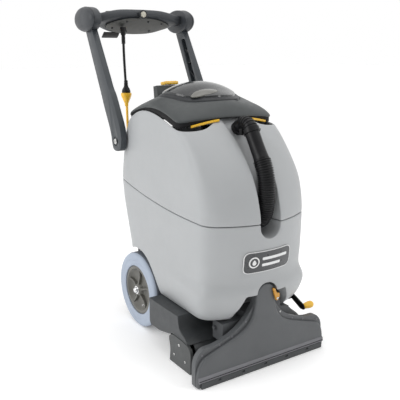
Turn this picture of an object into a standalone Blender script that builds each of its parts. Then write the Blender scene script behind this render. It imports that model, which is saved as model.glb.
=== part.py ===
"""Walk-behind carpet cleaning machine: two stacked tanks, brush, vacuum shoe and folding handle.

Metres, +Z up. The origin is on the floor under the middle of the machine. The shoe is at -Y,
the operator stands at +Y, and X = 0 is the machine's mid-plane.
"""
import bpy
import bmesh
from math import atan2, cos, hypot, pi, radians, sin, sqrt
from mathutils import Vector

GAP = 0.0003            # clearance between pieces that touch

# Wheels and axle
WHEEL_R = 0.127
HUB_R = 0.0820
WHEEL_IN = 0.126
WHEEL_OUT = 0.176
AXLE_Y = 0.055
AXLE_R = 0.008
WELL_R = 0.145
WELL_IN = 0.119

# Tanks
WALL = 0.005
TANK_BOTTOM = 0.158
SEAM_GAP = 0.002
GROOVE_HALF = 0.0355
GROOVE_END_Z = 0.436
GROOVE_END_R = 0.036
RIM_LOWEST, RIM_BLEND = 0.686, 0.012
NOTCH_BACK_Y = -0.315

# Lid
LID_SKIN = 0.003
LID_CENTRE_Y = -0.055
LID_CROWN = 0.050
WINDOW_EDGE = 0.70
HINGE_Y = 0.142
HINGE_Z = 0.703

# Hose
CUFF_R = 0.0205
HOSE_R = 0.025

# Handle
PIVOT_Y = 0.150
PIVOT_Z = 0.618
ARM_IN = 0.1695
ARM_OUT = 0.190
CAP_Y = 0.346
CAP_Z = 1.010
CAP_LONG = 0.075
CAP_HIGH = 0.041
TRIGGER_X = -0.082
TRIGGER_ALONG = 0.0435

# Shoe
SHOE_Y = -0.405
SHOE_HALF = 0.236
SHOE_PIN_Y = -0.330
SHOE_PIN_Z = 0.130

# Brush
BRUSH_Y = -0.270
BRUSH_Z = 0.040
BRUSH_R = 0.0395
MOTOR_Y = -0.175
MOTOR_Z = 0.112
BRUSH_PULLEY_R = 0.018
MOTOR_PULLEY_R = 0.010

# Drain
DRAIN_Y = 0.1942

# Lift lever
LEVER_Y = -0.300
LEVER_Z = 0.148

# Mains cord
CORD_D = 0.009
COIL_X = 0.120
COIL_Y = 0.440
COIL_R = 0.085
COIL_HALF = 0.026
COIL_HIGH = 0.050

# Tank outline at each height: z, front middle y, front corner y, half width there,
# half width at the back, back y
BODY_STATIONS = [
    (0.158, -0.374, -0.326, 0.168, 0.160, 0.116),
    (0.175, -0.391, -0.340, 0.179, 0.163, 0.120),
    (0.200, -0.406, -0.352, 0.187, 0.165, 0.125),
    (0.240, -0.413, -0.362, 0.191, 0.166, 0.133),
    (0.280, -0.406, -0.354, 0.179, 0.166, 0.142),
    (0.340, -0.414, -0.357, 0.178, 0.167, 0.158),
    (0.450, -0.421, -0.358, 0.178, 0.167, 0.188),
    (0.500, -0.411, -0.353, 0.178, 0.167, 0.191),
    (0.550, -0.393, -0.338, 0.178, 0.166, 0.185),
    (0.600, -0.362, -0.307, 0.177, 0.165, 0.175),
    (0.660, -0.305, -0.261, 0.174, 0.164, 0.158),
    (0.700, -0.250, -0.219, 0.172, 0.163, 0.134),
    (0.740, -0.190, -0.172, 0.169, 0.160, 0.096),
]
# Back wall of the hose groove: z, y
GROOVE_FLOOR = [
    (0.380, -0.350), (0.450, -0.344), (0.520, -0.342), (0.570, -0.332),
    (0.600, -0.317), (0.630, -0.297), (0.660, -0.274), (0.690, -0.243), (0.760, -0.150),
]


# ---------------------------------------------------------------- materials

def material(name, colour, roughness=0.5, metallic=0.0):
    mat = bpy.data.materials.new(name)
    mat.use_nodes = True
    shader = mat.node_tree.nodes["Principled BSDF"]
    shader.inputs["Base Color"].default_value = (*colour, 1.0)
    shader.inputs["Roughness"].default_value = roughness
    shader.inputs["Metallic"].default_value = metallic
    return mat


def make_materials():
    return {
        "tank": material("tank_grey", (0.52, 0.54, 0.56), 0.42),
        "slate": material("slate_plastic", (0.10, 0.12, 0.13), 0.45),
        "black": material("black_plastic", (0.018, 0.018, 0.020), 0.5),
        "shoe": material("shoe_grey", (0.13, 0.14, 0.145), 0.5),
        "yellow": material("yellow_plastic", (0.90, 0.52, 0.03), 0.4),
        "amber": material("amber_plastic", (0.55, 0.28, 0.03), 0.4),
        "tyre": material("tyre_rubber", (0.42, 0.48, 0.56), 0.7),
        "hub": material("hub_plastic", (0.10, 0.095, 0.085), 0.45),
        "steel": material("painted_steel", (0.05, 0.05, 0.055), 0.45, 0.6),
        "bright": material("bright_steel", (0.6, 0.6, 0.6), 0.25, 1.0),
        "smoke": material("smoked_clear", (0.12, 0.12, 0.125), 0.12),
        "badge": material("badge_face", (0.08, 0.085, 0.09), 0.4),
        "button": material("button_grey", (0.55, 0.53, 0.45), 0.4),
        "copper": material("motor_metal", (0.35, 0.33, 0.30), 0.4, 0.8),
        "cord": material("yellow_cord", (0.85, 0.50, 0.04), 0.5),
    }


# ---------------------------------------------------------------- mesh tools

def empty(name, location):
    pivot = bpy.data.objects.new(name, None)
    pivot.location = location
    bpy.context.collection.objects.link(pivot)
    return pivot


def add(name, verts, faces, mat, pivot=None, sharp=40.0):
    """Make an object from world points. With a pivot it hangs from that empty."""
    base = Vector(pivot.location) if pivot else Vector()
    mesh = bpy.data.meshes.new(name)
    mesh.from_pydata([tuple(Vector(v) - base) for v in verts], [], faces)
    bm = bmesh.new()
    bm.from_mesh(mesh)
    bmesh.ops.recalc_face_normals(bm, faces=bm.faces)
    bm.to_mesh(mesh)
    bm.free()
    mesh.shade_smooth()
    mesh.set_sharp_from_angle(angle=radians(sharp))
    obj = bpy.data.objects.new(name, mesh)
    bpy.context.collection.objects.link(obj)
    if mat:
        mesh.materials.append(mat)
    if pivot:
        obj.parent = pivot
    return obj


def loft(name, rings, mat, pivot=None, loop=False, sharp=40.0):
    """Skin equal rings. Ends are closed by fans, or joined to each other with loop."""
    n = len(rings[0])
    verts = [p for ring in rings for p in ring]
    faces = []
    count = len(rings)
    for k in range(count if loop else count - 1):
        a = k * n
        b = ((k + 1) % count) * n
        faces += [(a + i, a + (i + 1) % n, b + (i + 1) % n, b + i) for i in range(n)]
    if not loop:
        for start in (0, (count - 1) * n):
            centre = sum((Vector(v) for v in verts[start:start + n]), Vector()) / n
            verts.append(tuple(centre))
            hub = len(verts) - 1
            faces += [(start + i, start + (i + 1) % n, hub) for i in range(n)]
    return add(name, verts, faces, mat, pivot, sharp)


def place(axis, u, v, w):
    """Point with w along the axis and (u, v) across it."""
    return {"x": (w, u, v), "y": (u, w, v), "z": (u, v, w)}[axis]


def prism(name, outline, axis, low, high, mat, pivot=None, sharp=40.0):
    """Extrude a flat outline (u, v) along an axis."""
    n = len(outline)
    verts = [place(axis, u, v, low) for u, v in outline]
    verts += [place(axis, u, v, high) for u, v in outline]
    faces = [tuple(range(n)), tuple(range(2 * n - 1, n - 1, -1))]
    faces += [(i, (i + 1) % n, n + (i + 1) % n, n + i) for i in range(n)]
    return add(name, verts, faces, mat, pivot, sharp)


def box(name, low, high, mat, pivot=None):
    outline = [(low[0], low[1]), (high[0], low[1]), (high[0], high[1]), (low[0], high[1])]
    return prism(name, outline, "z", low[2], high[2], mat, pivot)


def turned(name, profile, axis, centre, mat, pivot=None, sides=24, ring=False, sharp=35.0):
    """Turn a profile of (radius, along) about an axis. ring closes the profile on itself."""
    verts = []
    rows = []
    for radius, along in profile:
        row = []
        for i in range(sides if radius > 0 else 1):
            angle = 2 * pi * i / sides
            p = Vector(place(axis, radius * cos(angle), radius * sin(angle), along))
            verts.append(tuple(p + Vector(centre)))
            row.append(len(verts) - 1)
        rows.append(row)
    faces = []
    for k in range(len(rows) if ring else len(rows) - 1):
        a, b = rows[k], rows[(k + 1) % len(rows)]
        for i in range(sides):
            j = (i + 1) % sides
            quad = [a[i % len(a)], a[j % len(a)], b[j % len(b)], b[i % len(b)]]
            faces.append(tuple(dict.fromkeys(quad)))
    return add(name, verts, faces, mat, pivot, sharp)


def through(points, steps):
    """Smooth curve through points (Catmull-Rom), steps segments between each pair."""
    pts = [Vector(p) for p in points]
    out = []
    for i in range(len(pts) - 1):
        p0 = pts[i - 1] if i else pts[0] * 2 - pts[1]
        p3 = pts[i + 2] if i + 2 < len(pts) else pts[-1] * 2 - pts[-2]
        p1, p2 = pts[i], pts[i + 1]
        for s in range(steps):
            t = s / steps
            out.append(0.5 * (2 * p1 + (p2 - p0) * t + (2 * p0 - 5 * p1 + 4 * p2 - p3) * t * t
                              + (3 * p1 - p0 - 3 * p2 + p3) * t ** 3))
    out.append(pts[-1])
    return out


def cord(name, points, radius, mat, pivot=None, resolution=2):
    """Round tube along points, as a bevelled curve."""
    base = Vector(pivot.location) if pivot else Vector()
    curve = bpy.data.curves.new(name, "CURVE")
    curve.dimensions = "3D"
    curve.bevel_depth = radius
    curve.bevel_resolution = resolution
    curve.use_fill_caps = True
    spline = curve.splines.new("POLY")
    spline.points.add(len(points) - 1)
    for point, p in zip(spline.points, points):
        point.co = (*(Vector(p) - base), 1.0)
    curve.materials.append(mat)
    obj = bpy.data.objects.new(name, curve)
    bpy.context.collection.objects.link(obj)
    if pivot:
        obj.parent = pivot
    return obj


def cut(obj, cutter, operation="DIFFERENCE"):
    cutter.hide_render = True
    cutter.display_type = "WIRE"
    mod = obj.modifiers.new(operation.lower() + "_" + cutter.name, "BOOLEAN")
    mod.operation = operation
    mod.object = cutter
    mod.solver = "EXACT"


def rounded(points, radius, steps=3):
    """Round the corners of a closed outline. radius is one number or one for each corner."""
    out = []
    n = len(points)
    for i in range(n):
        p = Vector(points[i])
        r = radius[i] if isinstance(radius, (list, tuple)) else radius
        a = (Vector(points[i - 1]) - p)
        b = (Vector(points[(i + 1) % n]) - p)
        if r <= 0:
            out.append(tuple(p))
            continue
        start = p + a.normalized() * min(r, a.length * 0.49)
        end = p + b.normalized() * min(r, b.length * 0.49)
        for s in range(steps + 1):
            t = s / steps
            out.append(tuple(start * (1 - t) ** 2 + p * 2 * t * (1 - t) + end * t * t))
    return out


def table(rows, z):
    """Smooth values at height z from rows that start with their height."""
    k = 0
    while k < len(rows) - 2 and z > rows[k + 1][0]:
        k += 1
    low, high = rows[k], rows[k + 1]
    span = high[0] - low[0]
    t = min(max((z - low[0]) / span, 0.0), 1.0)
    values = []
    for c in range(1, len(low)):
        before = rows[k - 1] if k else low
        after = rows[k + 2] if k + 2 < len(rows) else high
        m0 = (high[c] - before[c]) / (high[0] - before[0]) * span
        m1 = (after[c] - low[c]) / (after[0] - low[0]) * span
        values.append(low[c] * (2 * t ** 3 - 3 * t * t + 1) + m0 * (t ** 3 - 2 * t * t + t)
                      + high[c] * (3 * t * t - 2 * t ** 3) + m1 * (t ** 3 - t * t))
    return values


def step(t):
    t = min(max(t, 0.0), 1.0)
    return t * t * (3 - 2 * t)


# ---------------------------------------------------------------- tanks

def bezier(p0, p1, p2, ts):
    return [tuple(Vector(p0) * (1 - t) ** 2 + Vector(p1) * 2 * t * (1 - t) + Vector(p2) * t * t)
            for t in ts]


def plan(front, corner, wide, wide_back, back, inset=0.0, nose=0.03, tail=0.06):
    """Closed plan outline of a tank: bowed front, straight sides, round back corners."""
    front += inset
    corner += inset
    wide -= inset
    wide_back -= inset
    back -= inset
    half = []
    for part in (0.0, 0.25, 0.5, 0.75, 1.0):
        x = (wide - nose) * part
        half.append((x, front + (corner - front) * (x / wide) ** 2))
    half += bezier(half[-1], (wide, corner), (wide, corner + nose), (0.25, 0.5, 0.75, 1.0))
    start, end = Vector((wide, corner + nose)), Vector((wide_back, back - tail))
    half += [tuple(start.lerp(end, part / 6)) for part in range(1, 7)]
    half += bezier(half[-1], (wide_back, back), (wide_back - tail, back), (0.25, 0.5, 0.75, 1.0))
    half += [((wide_back - tail) * 0.5, back + 0.003), (0.0, back + 0.004)]
    return half + [(-x, y) for x, y in reversed(half[1:-1])]


def body_plan(z, inset=0.0):
    front, corner, wide, wide_back, back = table(BODY_STATIONS, z)
    return plan(front, corner, wide, wide_back, back, inset)


def seam_height(y):
    return 0.444 + 0.24 * max(y + 0.28, 0.0) ** 2


def rim_height(x, y):
    fall = 1.2 if y < 0.0 else 3.2
    lift = 0.048 * (1 - (x / 0.175) ** 2) * step((-0.12 - y) / 0.10)
    rim = 0.729 - fall * y * y + lift
    if y >= 0.0:
        return rim
    above = rim - RIM_LOWEST
    return RIM_LOWEST + (above + sqrt(above * above + RIM_BLEND * RIM_BLEND)) / 2


def lid_height(x, y):
    """Lower edge of the lid, as it would run on under the crown."""
    lift = 0.0265 * (1 - (x / 0.175) ** 2) * step((-0.12 - y) / 0.10)
    return 0.743 - 1.45 * (y + 0.05) ** 2 + lift


def body_ring(height, inset=0.0):
    """Ring on the tank wall at height(x, y), found by two passes."""
    guess = body_plan(height(0.1, -0.1), inset)
    count = len(guess)
    for _ in range(4):
        guess = [body_plan(height(*guess[i]), inset)[i] for i in range(count)]
    return [(x, y, height(x, y)) for x, y in guess]


def flat(z):
    return lambda x, y: z


def wheel_wells(mat, radius, inner):
    cutters = []
    for side in (-1, 1):
        profile = [(0, inner), (radius, inner), (radius, 0.26), (0, 0.26)]
        profile = [(r, side * along) for r, along in profile]
        cutters.append(turned("cutter_well", profile, "x", (0, AXLE_Y, WHEEL_R), mat, sides=40))
    return cutters


def notch_cutter(grow):
    half = [(0.096, 0.10), (0.096, 0.183), (0.072, 0.236), (0.036, 0.236)]
    half += [(0.036 * cos(a), 0.236 + 0.030 * sin(a)) for a in (0.4, 0.8, 1.2)]
    outline = half + [(0.0, 0.266)] + [(-x, z) for x, z in reversed(half)]
    outline = [(x + grow * (1 if x > 0 else -1 if x < 0 else 0), z + (grow if z > 0.15 else 0))
               for x, z in outline]
    return prism("cutter_notch", outline, "y", -0.50, NOTCH_BACK_Y + grow, None)


def pocket_cutter(grow):
    """Room behind the front wall for the shoe's neck to rise and lean back."""
    return box("cutter_pocket", (-0.050 - grow, -0.4020 - grow, 0.150),
               (0.050 + grow, NOTCH_BACK_Y + grow, 0.280 + grow), None)


def groove_cutter(grow):
    rings = []
    levels = [0.4015, 0.4025, 0.406, 0.412, 0.421, 0.436, 0.450, 0.480, 0.520, 0.550, 0.580,
              0.610, 0.640, 0.670, 0.700, 0.730, 0.760]
    for z in levels:
        drop = min(max((GROOVE_END_Z - z) / GROOVE_END_R, 0.0), 0.999)
        half = GROOVE_HALF * sqrt(1 - drop * drop) + grow
        floor = table(GROOVE_FLOOR, z)[0] + grow
        front = body_plan(max(z, 0.40))[0][1]
        back = [(s * half, floor - (floor - front) * (1 - sqrt(1 - s ** 6)))
                for s in (1.0, 0.94, 0.8, 0.5, 0.0, -0.5, -0.8, -0.94, -1.0)]
        z_low = z - grow if z < GROOVE_END_Z else z
        rings.append([(x, y, z_low) for x, y in [(-half, -0.55), (half, -0.55)] + back])
    return loft("cutter_groove", rings, None)


def make_solution_tank(mats):
    top = lambda x, y: seam_height(y) - SEAM_GAP / 2
    levels = [TANK_BOTTOM, 0.163, 0.175, 0.200, 0.240, 0.262, 0.285, 0.340, 0.400]
    tank = loft("solution_tank", [body_ring(flat(z)) for z in levels] + [body_ring(top)],
                mats["tank"])
    levels = [TANK_BOTTOM + WALL, 0.200, 0.240, 0.285, 0.400]
    above = lambda x, y: seam_height(y) + 0.03
    cavity = loft("cutter_solution_cavity",
                  [body_ring(flat(z), WALL) for z in levels] + [body_ring(above, WALL)], None)
    for cutter in wheel_wells(None, WELL_R + WALL, WELL_IN - WALL):
        cut(cavity, cutter)
    cut(cavity, notch_cutter(WALL))
    cut(cavity, pocket_cutter(WALL))
    cut(cavity, groove_cutter(WALL))
    for cutter in wheel_wells(None, WELL_R, WELL_IN):
        cut(tank, cutter)
    cut(tank, notch_cutter(0.0))
    cut(tank, pocket_cutter(0.0))
    cut(tank, groove_cutter(0.0))
    cut(tank, cavity)


def make_recovery_tank(mats):
    def level(part, base, inset=0.0):
        return body_ring(lambda x, y: base(x, y) + part * (rim_height(x, y) - base(x, y)), inset)

    bottom = lambda x, y: seam_height(y) + SEAM_GAP / 2
    floor = lambda x, y: seam_height(y) + SEAM_GAP / 2 + WALL
    parts = [0.0, 0.15, 0.3, 0.45, 0.6, 0.75, 0.88, 1.0]
    tank = loft("recovery_tank", [level(part, bottom) for part in parts], mats["tank"])
    parts = [0.0, 0.3, 0.6, 0.85, 1.08]
    cavity = loft("cutter_recovery_cavity", [level(part, floor, WALL) for part in parts], None)
    cut(cavity, groove_cutter(WALL))
    cut(tank, groove_cutter(0.0))
    cut(tank, cavity)


def make_badge(mats):
    """Plain curved name plate with nothing on it, low on the front."""
    columns = [-0.084, -0.078, -0.055, -0.028, 0.0, 0.028, 0.055, 0.078, 0.084]
    rings = []
    for x in columns:
        inset = 0.010 if abs(x) > 0.08 else 0.0
        ring = []
        for z, out in ((0.303 + inset, GAP), (0.367 - inset, GAP),
                       (0.367 - inset, 0.0025), (0.303 + inset, 0.0025)):
            front, corner, wide = table(BODY_STATIONS, z)[:3]
            ring.append((x, front + (corner - front) * (x / wide) ** 2 - out - 0.0016, z))
        rings.append(ring)
    loft("badge_plate", rings, mats["badge"])


# ---------------------------------------------------------------- lid

def lid_plan():
    return plan(-0.233, -0.208, 0.172, 0.163, 0.126, nose=0.022, tail=0.05)


def lid_ring(part, outline, sink=0.0, bump=0.0, inset=0.0):
    ring = []
    for x, y in outline:
        px = x * part
        py = LID_CENTRE_Y + (y - LID_CENTRE_Y) * part
        reach = hypot(px, py - LID_CENTRE_Y)
        if inset and reach > 0:
            px -= px / reach * inset
            py -= (py - LID_CENTRE_Y) / reach * inset
        crown = LID_CROWN * max(1 - part * part, 0.0) ** 0.8
        ring.append((px, py, lid_height(px, py) + LID_SKIN + crown + bump - sink))
    return ring


def lid_top(x, y):
    """Height of the lid's crown on its mid-plane and, closely, beside it."""
    reach = (y - LID_CENTRE_Y) / ((0.130 if y > LID_CENTRE_Y else -0.233) - LID_CENTRE_Y)
    part = max(reach, abs(x) / 0.172)
    return lid_height(x, y) + LID_SKIN + LID_CROWN * max(1 - part * part, 0.0) ** 0.8


def make_lid(mats, pivot):
    outline = lid_plan()
    top = [lid_ring(part, outline) for part in (1.0, 0.97, 0.90, 0.80, WINDOW_EDGE)]
    under = [lid_ring(part, outline, sink=LID_SKIN) for part in (WINDOW_EDGE, 0.80, 0.90, 1.0)]
    loft("lid", top + under, mats["slate"], pivot, loop=True)

    edge = WINDOW_EDGE - 0.01
    bump = lambda part: 0.005 + 0.015 * max(1 - (part / edge) ** 2, 0.0) ** 0.7
    shell = [lid_ring(part, outline, bump=bump(part)) for part in (edge, 0.55, 0.38, 0.20, 0.06)]
    inside = [lid_ring(part, outline, bump=bump(part), sink=LID_SKIN)
              for part in (0.10, 0.25, 0.42)]
    foot = [lid_ring(edge, outline, sink=0.003), lid_ring(edge - 0.03, outline, sink=0.003)]
    loft_window([foot[0]] + shell, inside + [lid_ring(edge - 0.03, outline, bump=0.002), foot[1]],
                mats["smoke"], pivot)

    seal = [[(px, py, lid_height(px, py) - GAP) for px, py, _ in
             lid_ring(1.0, outline, inset=inset)] for inset in (0.004, 0.014)]
    seal += [[(px, py, rim_height(px, py) + 0.0025) for px, py, _ in
              lid_ring(1.0, outline, inset=inset)] for inset in (0.014, 0.004)]
    loft("lid_gasket", seal, mats["black"], pivot, loop=True)


def loft_window(outside, inside, mat, pivot):
    """Thin dome: an outer skin up to its crown and an inner skin back down to the foot."""
    crown_out = outside[-1]
    n = len(crown_out)
    verts = [p for ring in outside for p in ring]
    faces = []
    for k in range(len(outside) - 1):
        a, b = k * n, (k + 1) * n
        faces += [(a + i, a + (i + 1) % n, b + (i + 1) % n, b + i) for i in range(n)]
    top = len(verts)
    verts.append(tuple(sum((Vector(p) for p in crown_out), Vector()) / n))
    faces += [(top - n + i, top - n + (i + 1) % n, top) for i in range(n)]
    start = len(verts)
    verts += [p for ring in inside for p in ring]
    for k in range(len(inside) - 1):
        a, b = start + k * n, start + (k + 1) * n
        faces += [(a + i, a + (i + 1) % n, b + (i + 1) % n, b + i) for i in range(n)]
    under = len(verts)
    first = inside[0]
    centre = sum((Vector(p) for p in first), Vector()) / n
    verts.append(tuple(centre + Vector((0, 0, 0.004))))
    faces += [(start + i, start + (i + 1) % n, under) for i in range(n)]
    foot = start + (len(inside) - 1) * n
    faces += [(i, (i + 1) % n, foot + (i + 1) % n, foot + i) for i in range(n)]
    add("lid_window", verts, faces, mat, pivot)


def make_lid_fittings(mats, lid_pivot, latch_pivot):
    turned("lid_hinge_pin", [(0, -0.055), (0.003, -0.055), (0.003, 0.055), (0, 0.055)], "x",
           (0, HINGE_Y, HINGE_Z), mats["bright"], sides=12)
    foot = [(y, lid_top(0.0, y) + GAP * 2) for y in (0.100, 0.106, 0.112, 0.118, 0.124, 0.127)]
    side = foot + [(0.1275, 0.730), (0.1340, 0.7920), (0.1120, 0.7960)]
    prism("lid_latch_bracket", side, "x", -0.054, 0.054, mats["slate"], lid_pivot)
    face = rounded([(0.104, 0.7990), (0.133, 0.7945), (0.136, 0.8050), (0.106, 0.8095)], 0.003)
    prism("lid_latch", face, "x", -0.026, 0.026, mats["yellow"], latch_pivot)


def make_rim_grips(mats):
    """Two yellow finger strips in the gap under the lid's front edge, either side of the hose."""
    for side, word in ((-1, "left"), (1, "right")):
        rings = []
        for x in (0.048, 0.075, 0.100, 0.125, 0.140):
            y = -0.2345 + 0.025 * (x / 0.172) ** 2
            z = rim_height(x, y) + 0.0006
            rings.append([(side * x, y + dy, z + dz) for dy, dz in
                          ((-0.0035, 0.0), (0.0022, 0.0), (0.0022, 0.0085), (-0.0035, 0.0085))])
        loft("rim_grip_" + word, rings, mats["yellow"])


# ---------------------------------------------------------------- hose

def hose_path():
    """Elbow arc, straight cuff and corrugated length, all in the mid-plane."""
    elbow = []
    centre = Vector((0, -0.2965, 0.6820))
    for i in range(8):
        angle = radians(60 + 87 * i / 7)
        elbow.append(centre + 0.026 * Vector((0, cos(angle), sin(angle))))
    elbow.insert(0, elbow[0] + 0.032 * Vector((0, 0.866, -0.5)))
    along = Vector((0, -0.54, -0.84)).normalized()
    cuff = [elbow[-1] + along * d for d in (0.0, 0.035, 0.07, 0.098)]
    low = through([cuff[-2], cuff[-1], (0, -0.3860, 0.5845), (0, -0.3940, 0.5507),
                   (0, -0.3950, 0.5092), (0, -0.3900, 0.4726), (0, -0.3800, 0.4463),
                   (0, -0.3650, 0.4350), (0, -0.3500, 0.4330)], 3)[3:]
    return elbow, cuff, low


def pipe(name, points, radii, mat, pivot=None, sides=16):
    """Closed round bar along points with a radius at each."""
    rings = []
    for i, p in enumerate(points):
        a = points[max(i - 1, 0)]
        b = points[min(i + 1, len(points) - 1)]
        along = (b - a).normalized()
        side = Vector((1, 0, 0))
        up = side.cross(along).normalized()
        rings.append([tuple(p + radii[i] * (cos(2 * pi * k / sides) * side
                                            + sin(2 * pi * k / sides) * up))
                      for k in range(sides)])
    return loft(name, rings, mat, pivot)


def make_hose(mats):
    elbow, cuff, low = hose_path()
    collar = [elbow[-1] + (cuff[1] - cuff[0]).normalized() * d for d in (0.002, 0.0022, 0.016)]
    pipe("hose_elbow", elbow + collar, [CUFF_R] * len(elbow) + [CUFF_R, 0.0245, 0.0245],
         mats["black"])
    start = collar[-1] + (cuff[1] - cuff[0]).normalized() * GAP
    points = [start] + cuff[1:] + low[1:]
    radii = [0.0215] * 4 + [HOSE_R] * (len(points) - 8) + [0.022, 0.019, 0.018, 0.018]
    pipe("recovery_hose", points, radii, mats["black"])


# ---------------------------------------------------------------- wheels and frame

def make_wheels(mats, pivots):
    half = (WHEEL_OUT - WHEEL_IN) / 2
    middle = (WHEEL_OUT + WHEEL_IN) / 2
    tyre = [(0.083, half), (0.119, half), (0.1245, half - 0.004), (WHEEL_R, half - 0.011),
            (WHEEL_R, 0.011 - half), (0.1245, 0.004 - half), (0.119, -half), (0.083, -half)]
    hub = [(AXLE_R + GAP, half - 0.002), (0.018, half - 0.002), (0.021, half - 0.010),
           (0.062, half - 0.014), (0.070, half - 0.004), (HUB_R, half - 0.004),
           (HUB_R, 0.006 - half), (0.066, 0.006 - half), (0.060, -0.004),
           (0.021, -0.004), (0.018, 0.002 - half), (AXLE_R + GAP, 0.002 - half)]
    for side, word in ((-1, "left"), (1, "right")):
        centre = (side * middle, AXLE_Y, WHEEL_R)
        flip = [(r, side * along) for r, along in tyre]
        turned("tyre_" + word, flip, "x", centre, mats["tyre"], pivots[word], 36, ring=True)
        flip = [(r, side * along) for r, along in hub]
        turned("wheel_hub_" + word, flip, "x", centre, mats["hub"], pivots[word], 24, ring=True)
        nut = [(0, 0.0003), (0.014, 0.0003), (0.014, 0.0025), (0.0095, 0.003), (0.009, 0.008),
               (0.005, 0.011), (0, 0.012)]
        nut = [(r, side * along) for r, along in nut]
        turned("wheel_nut_" + word, nut, "x", (side * (WHEEL_OUT - 0.001), AXLE_Y, WHEEL_R),
               mats["bright"], None, 12)
    end = WHEEL_OUT - 0.001
    turned("axle", [(0, -end), (AXLE_R, -end), (AXLE_R, end), (0, end)], "x",
           (0, AXLE_Y, WHEEL_R), mats["bright"], sides=16)


def make_chassis(mats):
    """Folded steel tray under the tank with two ears that carry the axle."""
    ears = [(-0.106, 0.100), (-0.100, 0.100), (-0.100, 0.150), (0.100, 0.150), (0.100, 0.100),
            (0.106, 0.100), (0.106, 0.1575), (-0.106, 0.1575)]
    tray = prism("chassis_frame", [(-0.106, 0.150), (0.106, 0.150), (0.106, 0.1575),
                                   (-0.106, 0.1575)], "y", -0.3152, 0.232, mats["steel"])
    carrier = prism("cutter_axle_ears", ears, "y", 0.030, 0.080, None)
    cut(tray, carrier, "UNION")
    cut(tray, box("cutter_lever_arm", (0.100, LEVER_Y - 0.010, 0.140),
                  (0.1910, LEVER_Y + 0.010, 0.1565), None), "UNION")
    for side in (-1, 1):
        low, high = sorted((side * 0.070, side * 0.090))
        cut(tray, box("cutter_hood_post", (low, BRUSH_Y - 0.012, 0.1005),
                      (high, BRUSH_Y + 0.012, 0.155), None), "UNION")
    hole = AXLE_R + GAP
    cut(tray, turned("cutter_axle", [(0, -0.12), (hole, -0.12), (hole, 0.12), (0, 0.12)], "x",
                     (0, AXLE_Y, WHEEL_R), None, sides=16))


def make_rear_frame(mats):
    """Two posts and a head plate behind the tanks, with ears that carry the handle."""
    posts = [(-0.080, 0.1578), (-0.055, 0.1578), (-0.055, 0.592), (0.055, 0.592),
             (0.055, 0.1578), (0.080, 0.1578), (0.080, 0.643), (-0.080, 0.643)]
    frame = prism("rear_frame", posts, "y", 0.2100, 0.2220, mats["steel"])
    half = [(0.0, 0.2100), (0.104, 0.2100), (0.1655, 0.160), (0.1655, 0.128), (0.1685, 0.128),
            (0.1685, 0.162), (0.106, 0.2135), (0.0, 0.2135)]
    strap = half + [(-x, y) for x, y in reversed(half[1:-1])]
    head = prism("cutter_head_strap", strap, "z", 0.598, 0.638, None)
    cut(frame, head, "UNION")
    for side in (-1, 1):
        cut(frame, turned("cutter_pivot", [(0, 0.16 * side), (0.0055, 0.16 * side),
                                           (0.0055, 0.18 * side), (0, 0.18 * side)],
                          "x", (0, PIVOT_Y, PIVOT_Z), None, sides=16))


# ---------------------------------------------------------------- handle

def ellipse(cy, cz, long, high, tilt, power=2.0, count=24):
    points = []
    for i in range(count):
        a = 2 * pi * i / count
        u = abs(cos(a)) ** (2 / power) * long * (1 if cos(a) >= 0 else -1)
        v = abs(sin(a)) ** (2 / power) * high * (1 if sin(a) >= 0 else -1)
        points.append((cy + u * cos(tilt) - v * sin(tilt), cz + u * sin(tilt) + v * cos(tilt)))
    return points


def arm_outline():
    front = [(0.303, 1.000), (0.192, 0.787), (0.174, 0.770), (0.112, 0.660), (0.108, 0.620),
             (0.120, 0.588)]
    back = [(0.165, 0.586), (0.175, 0.603), (0.185, 0.648), (0.232, 0.731), (0.352, 1.000)]
    return front + back


def make_handle(mats, pivot):
    for side, word in ((-1, "left"), (1, "right")):
        low, high = sorted((side * ARM_IN, side * ARM_OUT))
        arm = prism("handle_arm_" + word, rounded(arm_outline(), 0.010, 2), "x", low, high,
                    mats["slate"], pivot)
        pocket = [(0.296, 0.965), (0.212, 0.790), (0.184, 0.762), (0.140, 0.680),
                  (0.176, 0.668), (0.222, 0.745), (0.322, 0.960)]
        low, high = sorted((side * (ARM_IN - 0.002), side * (ARM_OUT - 0.006)))
        cut(arm, prism("cutter_arm_pocket", pocket, "x", low, high, None))
        low, high = sorted((side * 0.160, side * 0.200))
        cut(arm, prism("cutter_arm_top", ellipse(CAP_Y, CAP_Z, CAP_LONG + 0.0008,
                                                 CAP_HIGH + 0.0008, 0.0), "x", low, high, None))
        cut(arm, turned("cutter_arm_pivot", [(0, low), (0.0055, low), (0.0055, high), (0, high)],
                        "x", (0, PIVOT_Y, PIVOT_Z), None, sides=16))
        rings = [[(side * x, y, z) for y, z in ellipse(CAP_Y, CAP_Z, CAP_LONG * s, CAP_HIGH * s,
                                                       0.0)]
                 for x, s in ((0.166, 0.90), (0.170, 1.0), (0.192, 1.0), (0.202, 0.92),
                              (0.208, 0.72), (0.211, 0.40))]
        loft("handle_cap_" + word, rings, mats["slate"], pivot)
        bolt = [(0, 0.1625), (0.005, 0.1625), (0.005, ARM_OUT + GAP), (0.010, ARM_OUT + GAP),
                (0.010, ARM_OUT + 0.005), (0.006, ARM_OUT + 0.007), (0, ARM_OUT + 0.007)]
        turned("pivot_bolt_" + word, [(r, side * along) for r, along in bolt], "x",
               (0, PIVOT_Y, PIVOT_Z), mats["bright"], sides=16)


def console_section(x):
    """Centre y, centre z, half length, half thickness and tilt of the console at x."""
    rows = [(0.0, 0.3500, 1.0080, 0.056, 0.0180, radians(-35)),
            (0.080, 0.3490, 1.0080, 0.053, 0.0180, radians(-34)),
            (0.125, 0.3420, 1.0100, 0.041, 0.0175, radians(-26)),
            (0.150, 0.3380, 1.0120, 0.031, 0.0175, radians(-12)),
            (0.1655, 0.3380, 1.0130, 0.028, 0.0175, radians(-6))]
    return table(rows, abs(x))


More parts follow.
